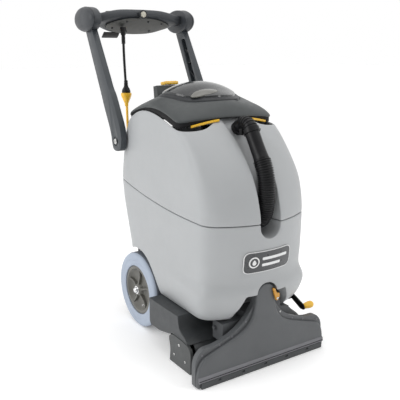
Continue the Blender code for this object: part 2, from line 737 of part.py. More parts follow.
def make_console(mats, pivot, pivots):
    stations = [-0.1655, -0.150, -0.125, -0.100, -0.070, -0.035, 0.0,
                0.035, 0.070, 0.100, 0.125, 0.150, 0.1655]
    rings = []
    for x in stations:
        cy, cz, long, high, tilt = console_section(x)
        rings.append([(x, y, z) for y, z in ellipse(cy, cz, long, high, tilt, 3.0, 20)])
    console = loft("console", rings, mats["slate"], pivot)

    plate = []
    for x in (-0.122, -0.112, -0.100, -0.070, -0.035, 0.0, 0.035, 0.070, 0.100, 0.112, 0.122):
        cy, cz, long, high, tilt = console_section(x)
        reach = long * 0.80 * sqrt(max(1 - (x / 0.128) ** 2, 0.0))
        normal = Vector((0, -sin(tilt), cos(tilt)))
        ahead = Vector((0, cos(tilt), sin(tilt)))
        base = Vector((x, cy, cz)) - normal * (high + 0.0012)
        plate.append([tuple(base + ahead * u - normal * w) for u, w in
                      ((-reach, 0), (reach, 0), (reach, 0.0025), (-reach, 0.0025))])
    loft("console_plate", plate, mats["hub"], pivot)

    turned("tilt_button", [(0, 0.0), (0.0085, 0.0), (0.0105, 0.0015), (0.0105, 0.010),
                           (0, 0.010)], "y", (0, 0.2860, 1.0290), mats["button"],
           pivots["tilt_button"], 16)
    cut(console, turned("cutter_button", [(0, 0.0), (0.0112, 0.0), (0.0112, 0.0220),
                                          (0, 0.0220)], "y", (0, 0.2860, 1.0290), None,
                        pivot, 16))

    well = [(-0.0145, -0.004), (0.0145, -0.004), (0.0145, 0.006), (-0.0145, 0.006)]
    rocker = [(-0.013, -0.001), (0.013, -0.001), (0.013, 0.002), (0.0, 0.0035), (-0.013, 0.006)]
    cut(console, across_console("cutter_switch", well, 0.0, 0.0, 1, -0.0105, 0.0105, None, pivot))
    across_console("power_switch", rocker, 0.0, 0.0, 1, -0.009, 0.009, mats["black"],
                   pivots["power_switch"])
    lever = [(0.0, 0.0015), (0.026, 0.0045), (0.026, 0.0080), (0.012, 0.0080), (0.0, 0.0050)]
    across_console("spray_trigger", lever, TRIGGER_X, TRIGGER_ALONG, -1, TRIGGER_X - 0.030,
                   TRIGGER_X + 0.030, mats["black"], pivots["spray_trigger"])


def console_point(x, along, side, away):
    """Point over the console's skin: along its section from the middle, and away from it."""
    cy, cz, long, high, tilt = console_section(x)
    skin = high * (1 - min(abs(along) / long, 1.0) ** 3) ** (1 / 3)
    rise = side * (skin + away)
    return Vector((x, cy + along * cos(tilt) - rise * sin(tilt),
                   cz + along * sin(tilt) + rise * cos(tilt)))


def across_console(name, outline, x, along, side, low, high, mat, pivot):
    """Straight bar across the console; its outline is (along, away) from a point on the skin."""
    seat = console_point(x, along, side, 0.0)
    tilt = console_section(x)[4]
    ahead = Vector((0, cos(tilt), sin(tilt)))
    normal = Vector((0, -sin(tilt), cos(tilt))) * side
    rings = [[tuple(Vector((end, seat.y, seat.z)) + ahead * u + normal * w) for u, w in outline]
             for end in (low, high)]
    return loft(name, rings, mat, pivot)


# ---------------------------------------------------------------- shoe

NECK = [(0.0355, 0.2050), (0.0335, 0.2320), (0.0270, 0.2480), (0.0140, 0.2580), (0.0, 0.2610)]
FRONT_EDGE = [(0.2330, 0.0010), (SHOE_HALF, 0.0060), (0.2345, 0.0430), (0.2280, 0.0670),
              (0.2140, 0.0840), (0.1930, 0.0930), (0.1340, 0.1110), (0.0900, 0.1270),
              (0.0600, 0.1470), (0.0430, 0.1720)] + NECK
REAR_EDGE = [(0.2330, 0.0010), (0.2370, 0.0060), (0.2375, 0.0600), (0.2330, 0.0840),
             (0.2220, 0.1000), (0.2060, 0.1100), (0.1710, 0.1120), (0.1340, 0.1220),
             (0.1000, 0.1370), (0.0700, 0.1590), (0.0480, 0.1850)] + NECK


def mirrored(half):
    """Close an outline whose last point is on the mid-plane."""
    return half + [(-x, z) for x, z in reversed(half[:-1])]


def make_shoe(mats, pivot, latch_pivot):
    """Front view: wide foot, hollow shoulders and a narrow round-topped neck."""
    prism("shoe_front", mirrored(FRONT_EDGE), "y", SHOE_Y, SHOE_Y + 0.010, mats["shoe"], pivot)
    rear = prism("shoe_rear", mirrored(REAR_EDGE), "y", SHOE_Y + 0.010 + GAP, SHOE_Y + 0.030,
                 mats["shoe"], pivot)
    duct = mirrored([(x * 0.90, z - 0.012) for x, z in FRONT_EDGE])
    cut(rear, prism("cutter_duct", duct, "y", SHOE_Y + 0.005, SHOE_Y + 0.0165, None, pivot))
    box("shoe_lip", (-0.226, SHOE_Y - 0.007, 0.0010), (0.226, SHOE_Y - GAP, 0.018),
        mats["black"], pivot)
    cam = [(0.0190, 0.2440), (0.0270, 0.2440), (0.0350, 0.2270), (0.0450, 0.2255),
           (0.0450, 0.2130), (0.0390, 0.2040), (0.0330, 0.2040)]
    prism("shoe_latch", cam, "y", SHOE_Y - 0.0075, SHOE_Y - GAP, mats["amber"], latch_pivot)


def make_shoe_carrier(mats):
    """Moulding on the chassis that the shoe swings on, with a bracket beside the neck."""
    half = [(0.0, 0.095), (0.124, 0.095), (0.124, 0.150), (0.090, 0.156), (0.090, 0.178),
            (0.086, 0.204), (0.056, 0.206), (0.056, 0.172), (0.0, 0.172)]
    outline = half + [(-0.050, 0.172), (-0.050, 0.152), (-0.124, 0.150), (-0.124, 0.095)]
    carrier = prism("shoe_carrier", outline, "y", -0.3650, -0.3155, mats["shoe"])
    pin = [(0, -0.132), (0.006, -0.132), (0.006, 0.132), (0, 0.132)]
    trunnion = turned("cutter_trunnion", pin, "x", (0, SHOE_PIN_Y, SHOE_PIN_Z), None, sides=12)
    cut(carrier, trunnion, "UNION")


# ---------------------------------------------------------------- brush

def make_brush(mats, pivot, pulley_pivot):
    def arc(radius, start, end, count):
        return [(BRUSH_Y + radius * cos(start + (end - start) * i / (count - 1)),
                 BRUSH_Z + 0.002 + radius * sin(start + (end - start) * i / (count - 1)))
                for i in range(count)]

    hood = arc(0.058, radians(-22), radians(202), 15) + arc(0.053, radians(202), radians(-22), 15)
    hood = prism("brush_hood", hood, "x", -0.187, 0.2000, mats["slate"])
    cut(hood, box("cutter_hood_wall", (-0.187, -0.2570, 0.0975), (0.2000, -0.2530, 0.1495), None),
        "UNION")

    roll = [(0, -0.2085), (0.006, -0.2085), (0.006, -0.1860), (BRUSH_R, -0.1860),
            (BRUSH_R, 0.1880), (0.006, 0.1880), (0.006, 0.2085), (0, 0.2085)]
    turned("brush_roll", roll, "x", (0, BRUSH_Y, BRUSH_Z), mats["black"], pivot, 24)
    bore = 0.006 + GAP
    ring = [(bore, -0.1980), (BRUSH_PULLEY_R, -0.1980), (BRUSH_PULLEY_R, -0.1900),
            (bore, -0.1900)]
    turned("brush_pulley", ring, "x", (0, BRUSH_Y, BRUSH_Z), mats["bright"], pivot, 24, ring=True)
    ring = [(0.004 + GAP, -0.1980), (MOTOR_PULLEY_R, -0.1980), (MOTOR_PULLEY_R, -0.1900),
            (0.004 + GAP, -0.1900)]
    turned("motor_pulley", ring, "x", (0, MOTOR_Y, MOTOR_Z), mats["bright"], pulley_pivot, 16,
           ring=True)

    cheek = rounded([(-0.212, 0.0), (-0.328, 0.0), (-0.3300, 0.072), (-0.314, 0.0850),
                     (-0.2835, 0.0890), (-0.229, 0.0905), (-0.207, 0.078), (-0.218, 0.043)],
                    [0.0, 0.006, 0.012, 0.008, 0, 0.010, 0.008, 0.01], 2)
    for side, word in ((-1, "left"), (1, "right")):
        low, high = sorted((side * 0.2006, side * 0.2105))
        plate = prism("brush_end_plate_" + word, cheek, "x", low, high, mats["slate"])
        cut(plate, turned("cutter_bearing", [(0, low - 0.002), (bore, low - 0.002),
                                             (bore, high + 0.002), (0, high + 0.002)],
                          "x", (0, BRUSH_Y, BRUSH_Z), None, sides=16))


def belt_loop(grow, count=10):
    """Closed outline of a belt round both pulleys, grow outside their rims."""
    a = Vector((BRUSH_Y, BRUSH_Z))
    b = Vector((MOTOR_Y, MOTOR_Z))
    ra, rb = BRUSH_PULLEY_R + grow, MOTOR_PULLEY_R + grow
    line = b - a
    heading = atan2(line.y, line.x)
    lean = pi / 2 + (ra - rb) / line.length * -1
    points = []
    for i in range(count):
        t = heading + lean + (2 * pi - 2 * lean) * i / (count - 1)
        points.append(tuple(a + ra * Vector((cos(t), sin(t)))))
    for i in range(count):
        t = heading - lean + 2 * lean * i / (count - 1)
        points.append(tuple(b + rb * Vector((cos(t), sin(t)))))
    return points


def make_drive(mats):
    inner, outer = belt_loop(GAP * 2), belt_loop(0.0026)
    rings = [[(x, y, z) for y, z in loop] for x, loop in
             ((-0.1975, inner), (-0.1975, outer), (-0.1910, outer), (-0.1910, inner))]
    loft("drive_belt", rings, mats["black"], loop=True)
    body = [(0, -0.1985), (0.004, -0.1985), (0.004, -0.180), (0.012, -0.180), (0.026, -0.176),
            (0.026, -0.076), (0.018, -0.070), (0, -0.070)]
    turned("brush_motor", body, "x", (0, MOTOR_Y, MOTOR_Z), mats["copper"], sides=20)
    outline = rounded([(-0.187, -0.211), (-0.060, -0.211), (-0.060, -0.140), (-0.187, -0.140)],
                      0.020, 3)
    inside = rounded([(-0.184, -0.208), (-0.063, -0.208), (-0.063, -0.143), (-0.184, -0.143)],
                     0.017, 3)
    rings = [[(x, y, z) for x, y in outline] for z in (0.080, 0.1495)]
    rings += [[(x, y, z) for x, y in inside] for z in (0.1495, 0.083)]
    cover = loft("motor_cover", rings, mats["slate"])
    cut(cover, turned("cutter_shaft", [(0, -0.195), (0.006, -0.195), (0.006, -0.178),
                                       (0, -0.178)], "x", (0, MOTOR_Y, MOTOR_Z), None, sides=12))
    guard = [(-0.262, 0.0925), (-0.229, 0.0925), (-0.205, 0.0815), (-0.150, 0.0700),
             (-0.095, 0.0700), (-0.088, 0.0800), (-0.088, 0.1495), (-0.222, 0.1495),
             (-0.245, 0.1250)]
    cut(cover, prism("cutter_belt_guard", guard, "x", -0.2055, -0.2003, None), "UNION")
    cut(cover, box("cutter_guard_band", (-0.2040, -0.2110, 0.1420), (-0.1840, -0.1400, 0.1495),
                   None), "UNION")


# ---------------------------------------------------------------- lift lever

def make_lever(mats, pivot):
    bar = rounded([(LEVER_Y + 0.008, LEVER_Z + 0.007), (LEVER_Y + 0.008, LEVER_Z - 0.006),
                   (-0.347, 0.1150), (-0.364, 0.1170), (-0.360, 0.1320),
                   (LEVER_Y - 0.004, LEVER_Z + 0.008)], 0.004, 2)
    prism("lift_lever", bar, "x", 0.1915, 0.1965, mats["black"], pivot)
    knob = [(0, 0.0), (0.007, 0.0), (0.009, 0.006), (0.0115, 0.022), (0.0105, 0.034),
            (0.006, 0.0385), (0, 0.0385)]
    turned("lift_knob", knob, "x", (0.1968, -0.3530, 0.1250), mats["yellow"], pivot, 16)


# ---------------------------------------------------------------- inside

def make_inside(mats, float_pivot, drain_pivot):
    can = [(0, 0.1640), (0.072, 0.1640), (0.072, 0.2200), (0.060, 0.2260), (0.054, 0.2300),
           (0.054, 0.3150), (0.040, 0.3300), (0, 0.3300)]
    turned("vacuum_motor", can, "z", (0, 0.020, 0), mats["copper"], sides=24)
    box("solution_pump", (-0.135, -0.250, 0.1640), (-0.060, -0.180, 0.2300), mats["black"])
    tube = [(0.024, 0.5080), (0.027, 0.5080), (0.027, 0.6700), (0.024, 0.6700)]
    turned("standpipe", tube, "z", (0.060, -0.020, 0), mats["black"], sides=20, ring=True)
    ball = [(0.020 * sin(pi * i / 8), 0.020 - 0.020 * cos(pi * i / 8)) for i in range(9)]
    ball[0], ball[-1] = (0, 0.0), (0, 0.040)
    turned("float_ball", ball, "z", (0.060, -0.020, 0.5200), mats["button"], float_pivot, 16)
    cap = [(0, 0.0), (0.026, 0.0), (0.026, 0.010), (0.020, 0.011), (0.0, 0.011)]
    turned("drain_cap", cap, "y", (0, DRAIN_Y, 0.5450), mats["black"], drain_pivot, 20)


# ---------------------------------------------------------------- cord

# Route of the yellow mains cord from the connector to the coil on the floor
MAINS_ROUTE = [
    (-0.0535, 0.3300, 0.7127), (-0.0533, 0.3300, 0.6800), (-0.0525, 0.3305, 0.6400),
    (-0.0510, 0.3312, 0.5900), (-0.0490, 0.3325, 0.5400), (-0.0465, 0.3340, 0.4900),
    (-0.0430, 0.3360, 0.4400), (-0.0385, 0.3385, 0.3900), (-0.0330, 0.3420, 0.3400),
    (-0.0260, 0.3460, 0.2900), (-0.0175, 0.3515, 0.2400), (-0.0080, 0.3580, 0.1950),
    (0.0030, 0.3665, 0.1530), (0.0135, 0.3770, 0.1170), (0.0225, 0.3900, 0.0880),
    (0.0290, 0.4060, 0.0680), (0.0330, 0.4230, 0.0580), (0.0350, 0.4400, 0.0550),
]
# Route of the short black lead that hangs from the gland
LEAD_ROUTE = [
    (-0.0600, 0.3300, 0.9300), (-0.0597, 0.3303, 0.9120), (-0.0590, 0.3308, 0.8900),
    (-0.0582, 0.3310, 0.8650), (-0.0573, 0.3308, 0.8400), (-0.0566, 0.3304, 0.8200),
    (-0.0562, 0.3300, 0.8050),
]


def make_cords(mats, pivot):
    gland = [(0, 0.0), (0.0060, 0.0), (0.0068, 0.012), (0.0085, 0.013), (0.0085, 0.040),
             (0.0105, 0.041), (0.0105, 0.0560), (0, 0.0560)]
    turned("cord_gland", gland, "z", (-0.0600, 0.3300, 0.9305), mats["black"], pivot, 14)
    cord("lead_cord", through(LEAD_ROUTE, 2), CORD_D / 2, mats["black"], pivot)
    shell = [(0, 0.0), (0.0065, 0.0), (0.0085, 0.008), (0.0175, 0.030), (0.0195, 0.040),
             (0.0185, 0.0475), (0.0125, 0.0485), (0.0115, 0.060), (0.0070, 0.085),
             (0.0060, 0.0915), (0, 0.0915)]
    turned("cord_connector", shell, "z", (-0.0548, 0.3300, 0.7132), mats["yellow"], pivot, 16)
    cord("mains_cord", through(MAINS_ROUTE, 2), CORD_D / 2, mats["cord"])
    ring = [(COIL_R - COIL_HALF, 0.0005), (COIL_R + COIL_HALF, 0.0005),
            (COIL_R + COIL_HALF, COIL_HIGH), (COIL_R - COIL_HALF, COIL_HIGH)]
    turned("cord_coil", ring, "z", (COIL_X, COIL_Y, 0), mats["cord"], sides=32, ring=True)
    make_plug(mats)


def make_plug(mats):
    """Moulded plug lying on the floor inside the coil."""
    start = Vector((COIL_X + 0.0015, COIL_Y + 0.0327, 0.0))
    along = Vector((0.7815, -0.6239, 0.0)).normalized()
    across = Vector((-along.y, along.x, 0.0))
    rings = []
    for d, half, high in ((0.0, 0.005, 0.005), (0.018, 0.008, 0.008), (0.024, 0.013, 0.011),
                          (0.048, 0.015, 0.012), (0.052, 0.014, 0.011)):
        centre = start + along * d + Vector((0, 0, 0.0135))
        rings.append([tuple(centre + across * half * cos(a) + Vector((0, 0, high * sin(a))))
                      for a in (2 * pi * k / 12 for k in range(12))])
    loft("mains_plug", rings, mats["yellow"])


# ---------------------------------------------------------------- build

def main():
    for obj in list(bpy.data.objects):
        bpy.data.objects.remove(obj, do_unlink=True)
    mats = make_materials()

    handle = empty("handle_pivot", (0, PIVOT_Y, PIVOT_Z))
    lid = empty("lid_pivot", (0, HINGE_Y, HINGE_Z))
    lid_latch = empty("lid_latch_pivot", (0, 0.133, 0.795))
    wheels = {"left": empty("wheel_left_pivot", (-0.151, AXLE_Y, WHEEL_R)),
              "right": empty("wheel_right_pivot", (0.151, AXLE_Y, WHEEL_R))}
    buttons = {"tilt_button": empty("tilt_button_pivot", (0, 0.286, 1.029)),
               "power_switch": empty("power_switch_pivot", console_point(0, 0, 1, 0)),
               "spray_trigger": empty("spray_trigger_pivot",
                                      console_point(TRIGGER_X, TRIGGER_ALONG, -1, 0.003))}
    shoe = empty("shoe_pivot", (0, SHOE_PIN_Y, SHOE_PIN_Z))
    shoe_latch = empty("shoe_latch_pivot", (0.036, SHOE_Y, 0.209))
    brush = empty("brush_pivot", (0, BRUSH_Y, BRUSH_Z))
    motor_pulley = empty("motor_pulley_pivot", (0, MOTOR_Y, MOTOR_Z))
    lever = empty("lift_lever_pivot", (0.194, LEVER_Y, LEVER_Z))
    float_ball = empty("float_ball_pivot", (0.060, -0.020, 0.540))
    drain = empty("drain_cap_pivot", (0, DRAIN_Y, 0.545))

    make_chassis(mats)
    make_rear_frame(mats)
    make_wheels(mats, wheels)
    make_solution_tank(mats)
    make_recovery_tank(mats)
    make_badge(mats)
    make_lid(mats, lid)
    make_lid_fittings(mats, lid, lid_latch)
    make_rim_grips(mats)
    make_hose(mats)
    make_handle(mats, handle)
    make_console(mats, handle, buttons)
    make_shoe(mats, shoe, shoe_latch)
    make_shoe_carrier(mats)
    make_brush(mats, brush, motor_pulley)
    make_drive(mats)
    make_lever(mats, lever)
    make_inside(mats, float_ball, drain)
    make_cords(mats, handle)


main()
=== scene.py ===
"""Looks of the walk-behind carpet cleaning machine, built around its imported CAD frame.

Metres, +Z up. The shoe is at -Y, the operator stands at +Y, X = 0 is the mid-plane.
"""
import random
from math import acos, atan2, ceil, cos, hypot, pi, radians, sin, sqrt

import bmesh
import bpy
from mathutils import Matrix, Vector


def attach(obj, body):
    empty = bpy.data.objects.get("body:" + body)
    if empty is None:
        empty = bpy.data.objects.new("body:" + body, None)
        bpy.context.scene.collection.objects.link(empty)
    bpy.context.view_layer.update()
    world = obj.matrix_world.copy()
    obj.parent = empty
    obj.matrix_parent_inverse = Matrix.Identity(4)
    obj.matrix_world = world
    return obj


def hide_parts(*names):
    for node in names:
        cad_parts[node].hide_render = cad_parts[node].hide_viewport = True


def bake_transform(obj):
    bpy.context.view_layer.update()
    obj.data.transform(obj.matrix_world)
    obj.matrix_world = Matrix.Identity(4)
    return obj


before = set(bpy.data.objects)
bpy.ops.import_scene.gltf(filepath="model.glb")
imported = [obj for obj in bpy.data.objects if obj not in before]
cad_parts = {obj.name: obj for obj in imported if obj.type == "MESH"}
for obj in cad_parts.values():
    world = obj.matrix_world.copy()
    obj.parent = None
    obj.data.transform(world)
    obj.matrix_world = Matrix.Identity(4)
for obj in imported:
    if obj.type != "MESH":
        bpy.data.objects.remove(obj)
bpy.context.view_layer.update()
RNG = random.Random(7)

AXLE_Y, WHEEL_R = 0.055, 0.127
WHEEL_IN, WHEEL_OUT = 0.126, 0.176
TANK_BOTTOM, SEAM_GAP, WALL = 0.158, 0.002, 0.005
LIP = 0.003
RIM_LOWEST, RIM_BLEND = 0.686, 0.012
GROOVE_HALF, GROOVE_END_Z, GROOVE_END_R = 0.0355, 0.436, 0.036
LID_CENTRE_Y, LID_CROWN, LID_SKIN = -0.055, 0.050, 0.003
LID_REACH_X, LID_REACH_Y = 0.172, 0.178
HINGE_Y, HINGE_Z = 0.142, 0.703
CAP_Y, CAP_Z, CAP_LONG, CAP_HIGH = 0.346, 1.010, 0.075, 0.041
ARM_IN, ARM_OUT = 0.1695, 0.190
PIVOT_Y, PIVOT_Z = 0.150, 0.618
BUTTON_AT = (0, 0.286, 1.029)
SHOE_Y, SHOE_HALF = -0.405, 0.236
BRUSH_Y, BRUSH_Z = -0.270, 0.040
CORD_D = 0.009
SIDES = ((-1, "left"), (1, "right"))
COIL = Vector((0.120, 0.440, 0.0))

# Tank outline: z, front middle y, front corner y, half width there, half width at the back, back y
BODY_STATIONS = [
    (0.158, -0.374, -0.326, 0.168, 0.160, 0.116),
    (0.175, -0.391, -0.340, 0.179, 0.163, 0.120),
    (0.200, -0.406, -0.352, 0.187, 0.165, 0.125),
    (0.240, -0.413, -0.362, 0.191, 0.166, 0.133),
    (0.280, -0.406, -0.354, 0.179, 0.166, 0.142),
    (0.340, -0.414, -0.357, 0.178, 0.167, 0.158),
    (0.450, -0.421, -0.358, 0.178, 0.167, 0.188),
    (0.500, -0.411, -0.353, 0.178, 0.167, 0.191),
    (0.550, -0.393, -0.338, 0.178, 0.166, 0.185),
    (0.600, -0.362, -0.307, 0.177, 0.165, 0.175),
    (0.660, -0.305, -0.261, 0.174, 0.164, 0.158),
    (0.700, -0.250, -0.219, 0.172, 0.163, 0.134),
    (0.740, -0.190, -0.172, 0.169, 0.160, 0.096),
]
# Back wall of the hose groove: z, y
GROOVE_FLOOR = [
    (0.380, -0.350), (0.450, -0.344), (0.520, -0.342), (0.570, -0.332),
    (0.600, -0.317), (0.630, -0.297), (0.660, -0.274), (0.690, -0.243), (0.760, -0.150),
]


# ---------------------------------------------------------------- materials

def fill(node, **values):
    """Set a node's own sockets: From_Min="..." means its socket "From Min"."""
    for key, value in values.items():
        node.inputs[key.replace("_", " ")].default_value = value


def plastic(name, colour, rough=0.45, vary=0.05, grain=900.0, bump=0.10, metallic=0.0,
            scuff=0.05, coat=0.0, shine=0.5):
    """Moulded plastic, rubber or metal: slow colour drift, fine grain and uneven gloss."""
    mat = bpy.data.materials.new(name)
    mat.use_nodes = True
    nodes, links = mat.node_tree.nodes, mat.node_tree.links
    shader = nodes["Principled BSDF"]
    fill(shader, Metallic=metallic, Coat_Weight=coat, Coat_Roughness=0.12,
         Specular_IOR_Level=shine)
    where = nodes.new("ShaderNodeTexCoord")

    def noise(size, detail):
        node = nodes.new("ShaderNodeTexNoise")
        fill(node, Scale=size, Detail=detail)
        links.new(where.outputs["Object"], node.inputs["Vector"])
        return node

    drift = nodes.new("ShaderNodeValToRGB")
    dark, light = drift.color_ramp.elements
    dark.position, light.position = 0.30, 0.70
    dark.color = (*[c * (1 - vary) for c in colour], 1)
    light.color = (*[min(c * (1 + vary), 1.0) for c in colour], 1)
    links.new(noise(14.0, 5.0).outputs["Fac"], drift.inputs["Fac"])
    links.new(drift.outputs["Color"], shader.inputs["Base Color"])

    gloss = nodes.new("ShaderNodeMapRange")
    fill(gloss, From_Min=0.3, From_Max=0.7, To_Min=max(rough - scuff, 0.03),
         To_Max=min(rough + scuff, 1.0))
    links.new(noise(60.0, 6.0).outputs["Fac"], gloss.inputs["Value"])
    links.new(gloss.outputs["Result"], shader.inputs["Roughness"])

    skin = nodes.new("ShaderNodeBump")
    fill(skin, Strength=bump, Distance=0.0006)
    links.new(noise(grain, 3.0).outputs["Fac"], skin.inputs["Height"])
    links.new(skin.outputs["Normal"], shader.inputs["Normal"])
    return mat


def smoked(name):
    """Dark see-through plastic with a faint unevenness in its gloss."""
    mat = plastic(name, (0.036, 0.039, 0.041), 0.16, 0.10, 500.0, 0.04, scuff=0.05, coat=0.3)
    mat.node_tree.nodes["Principled BSDF"].inputs["Transmission Weight"].default_value = 0.25
    return mat


# Each material and the record's slot that it stands for
MATERIALS = {
    "tank": ("tank",
        plastic("tank_grey", (0.400, 0.412, 0.420), 0.40, 0.02, 700.0, 0.12, scuff=0.05)),
    "lid": ("lid_slate", plastic("lid_slate", (0.044, 0.050, 0.051), 0.42, 0.08, 900.0, 0.14)),
    "slate": ("handle_slate",
        plastic("handle_slate", (0.034, 0.038, 0.044), 0.42, 0.10, 1000.0, 0.20)),
    "arm": ("handle_slate", plastic("arm_slate", (0.040, 0.047, 0.054), 0.40, 0.10, 900.0, 0.20)),
    "rib": ("handle_slate",
        plastic("rib_slate", (0.018, 0.020, 0.023), 0.45, 0.10, 900.0, 0.20, shine=0.4)),
    "black": ("black_plastic",
        plastic("black_plastic", (0.010, 0.010, 0.011), 0.42, 0.15, 1100.0, 0.20, shine=0.3)),
    "rubber": ("black_plastic",
        plastic("black_rubber", (0.011, 0.011, 0.012), 0.70, 0.15, 800.0, 0.25, shine=0.2)),
    "hose": ("black_plastic",
        plastic("hose_black", (0.007, 0.007, 0.008), 0.32, 0.15, 900.0, 0.15, shine=0.25)),
    "shoe": ("shoe_grey", plastic("shoe_grey", (0.092, 0.097, 0.102), 0.46, 0.06, 900.0, 0.22)),
    "strip": ("shoe_grey", plastic("strip_grey", (0.17, 0.17, 0.185), 0.40, 0.08, 900.0, 0.15)),
    "housing": ("housing_grey",
        plastic("housing_grey", (0.046, 0.050, 0.053), 0.44, 0.10, 900.0, 0.20)),
    "cheek": ("housing_grey",
        plastic("cheek_grey", (0.062, 0.066, 0.066), 0.46, 0.10, 800.0, 0.25)),
    "fibre": ("brush_fibre",
        plastic("brush_fibre", (0.018, 0.018, 0.020), 0.60, 0.25, 1500.0, 0.30)),
    "yellow": ("yellow_plastic",
        plastic("yellow_plastic", (0.90, 0.52, 0.032), 0.34, 0.05, 900.0, 0.10, coat=0.2)),
    "amber": ("amber_plastic",
        plastic("amber_plastic", (0.56, 0.26, 0.016), 0.32, 0.08, 900.0, 0.10, coat=0.3)),
    "tyre": ("tyre_rubber",
        plastic("tyre_rubber", (0.385, 0.440, 0.530), 0.62, 0.05, 700.0, 0.30)),
    "tread": ("tyre_rubber",
        plastic("tyre_tread", (0.120, 0.135, 0.160), 0.68, 0.14, 500.0, 0.60)),
    "hub": ("hub_plastic", plastic("hub_plastic", (0.135, 0.132, 0.118), 0.40, 0.12, 900.0, 0.20)),
    "paint": ("frame_paint",
        plastic("frame_paint", (0.016, 0.016, 0.018), 0.42, 0.12, 900.0, 0.15, 0.3, shine=0.4)),
    "steel": ("bright_steel",
        plastic("bright_steel", (0.62, 0.62, 0.61), 0.22, 0.06, 500.0, 0.06, 1.0, 0.06)),
    "chrome": ("bright_steel",
        plastic("chrome", (0.80, 0.80, 0.80), 0.10, 0.03, 500.0, 0.03, 1.0, 0.04)),
    "smoke": ("smoked_clear", smoked("smoked_clear")),
    "badge": ("badge_face",
        plastic("badge_face", (0.040, 0.042, 0.046), 0.30, 0.08, 900.0, 0.06, coat=0.3)),
    "white": ("badge_face", plastic("badge_white", (0.78, 0.78, 0.78), 0.35, 0.02, 900.0, 0.05)),
    "button": ("button_grey", plastic("button_grey", (0.52, 0.50, 0.42), 0.36, 0.06, 900.0, 0.10)),
    "lens": ("smoked_clear",
        plastic("lid_baffle", (0.150, 0.148, 0.132), 0.22, 0.10, 500.0, 0.06, coat=0.4)),
    "motor": ("motor_metal",
        plastic("motor_metal", (0.40, 0.39, 0.37), 0.38, 0.08, 600.0, 0.12, 0.8)),
    "cord": ("cord_sheath", plastic("cord_sheath", (0.88, 0.50, 0.045), 0.45, 0.05, 900.0, 0.15)),
    "plate": ("black_plastic",
        plastic("console_under", (0.060, 0.061, 0.057), 0.50, 0.06, 900.0, 0.25)),
}


# ---------------------------------------------------------------- mesh tools

def add(name, verts, faces, mat, body="machine", sharp=38.0, bevel=0.0, replaces=()):
    """Make a piece from world points; it rides on a body, and may stand for CAD nodes."""
    mesh = bpy.data.meshes.new(name)
    mesh.from_pydata([tuple(v) for v in verts], [], faces)
    bm = bmesh.new()
    bm.from_mesh(mesh)
    bmesh.ops.recalc_face_normals(bm, faces=bm.faces)
    bm.to_mesh(mesh)
    bm.free()
    mesh.shade_smooth()
    mesh.set_sharp_from_angle(angle=radians(sharp))
    obj = bpy.data.objects.new(name, mesh)
    bpy.context.collection.objects.link(obj)
    slot, finish = MATERIALS[mat]
    mesh.materials.append(finish)
    if bevel:
        mod = obj.modifiers.new("edges", "BEVEL")
        mod.width = bevel
        mod.segments = 2
        mod.limit_method = "ANGLE"
        mod.angle_limit = radians(sharp)
        mod.harden_normals = False
    if body:
        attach(obj, body)
    if replaces:
        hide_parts(*replaces)
    return obj


def loft(name, rings, mat, body="machine", loop=False, **more):
    """Skin equal rings, closed by one face at each end or joined end to end."""
    n = len(rings[0])
    verts = [p for ring in rings for p in ring]
    faces = []
    for k in range(len(rings) if loop else len(rings) - 1):
        a, b = k * n, ((k + 1) % len(rings)) * n
        faces += [(a + i, a + (i + 1) % n, b + (i + 1) % n, b + i) for i in range(n)]
    if not loop:
        last = (len(rings) - 1) * n
        faces += [tuple(range(n)), tuple(range(last, last + n))]
    return add(name, verts, faces, mat, body, **more)


def around(count):
    """Angles at even steps round a circle."""
    return [2 * pi * k / count for k in range(count)]


def place(axis, u, v, w):
    return {"x": (w, u, v), "y": (u, w, v), "z": (u, v, w)}[axis]


def prism(name, outline, axis, low, high, mat, body="machine", **more):
    rings = [[place(axis, u, v, w) for u, v in outline] for w in (low, high)]
    return loft(name, rings, mat, body, **more)


def turned(name, profile, axis, centre, mat, body="machine", sides=48, ring=False, **more):
    """Turn a profile of (radius, along) about an axis. ring closes the profile on itself."""
    verts, rows = [], []
    for radius, along in profile:
        row = []
        for i in range(sides if radius > 0 else 1):
            angle = 2 * pi * i / sides
            p = Vector(place(axis, radius * cos(angle), radius * sin(angle), along))
            verts.append(p + Vector(centre))
            row.append(len(verts) - 1)
        rows.append(row)
    faces = []
    for k in range(len(rows) if ring else len(rows) - 1):
        a, b = rows[k], rows[(k + 1) % len(rows)]
        for i in range(sides):
            j = (i + 1) % sides
            quad = [a[i % len(a)], a[j % len(a)], b[j % len(b)], b[i % len(b)]]
            quad = tuple(dict.fromkeys(quad))
            if len(quad) > 2:
                faces.append(quad)
    return add(name, verts, faces, mat, body, **more)


def on_side(side, profile):
    """A turned profile whose distances along the axis point out to one side."""
    return [(r, side * a) for r, a in profile]


def through(points, steps):
    """Smooth curve through points (Catmull-Rom), steps segments between each pair."""
    pts = [Vector(p) for p in points]
    out = []
    for i in range(len(pts) - 1):
        p0 = pts[i - 1] if i else pts[0] * 2 - pts[1]
        p3 = pts[i + 2] if i + 2 < len(pts) else pts[-1] * 2 - pts[-2]
        p1, p2 = pts[i], pts[i + 1]
        for s in range(steps):
            t = s / steps
            out.append(0.5 * (2 * p1 + (p2 - p0) * t + (2 * p0 - 5 * p1 + 4 * p2 - p3) * t * t
                              + (3 * p1 - p0 - 3 * p2 + p3) * t ** 3))
    out.append(pts[-1])
    return out


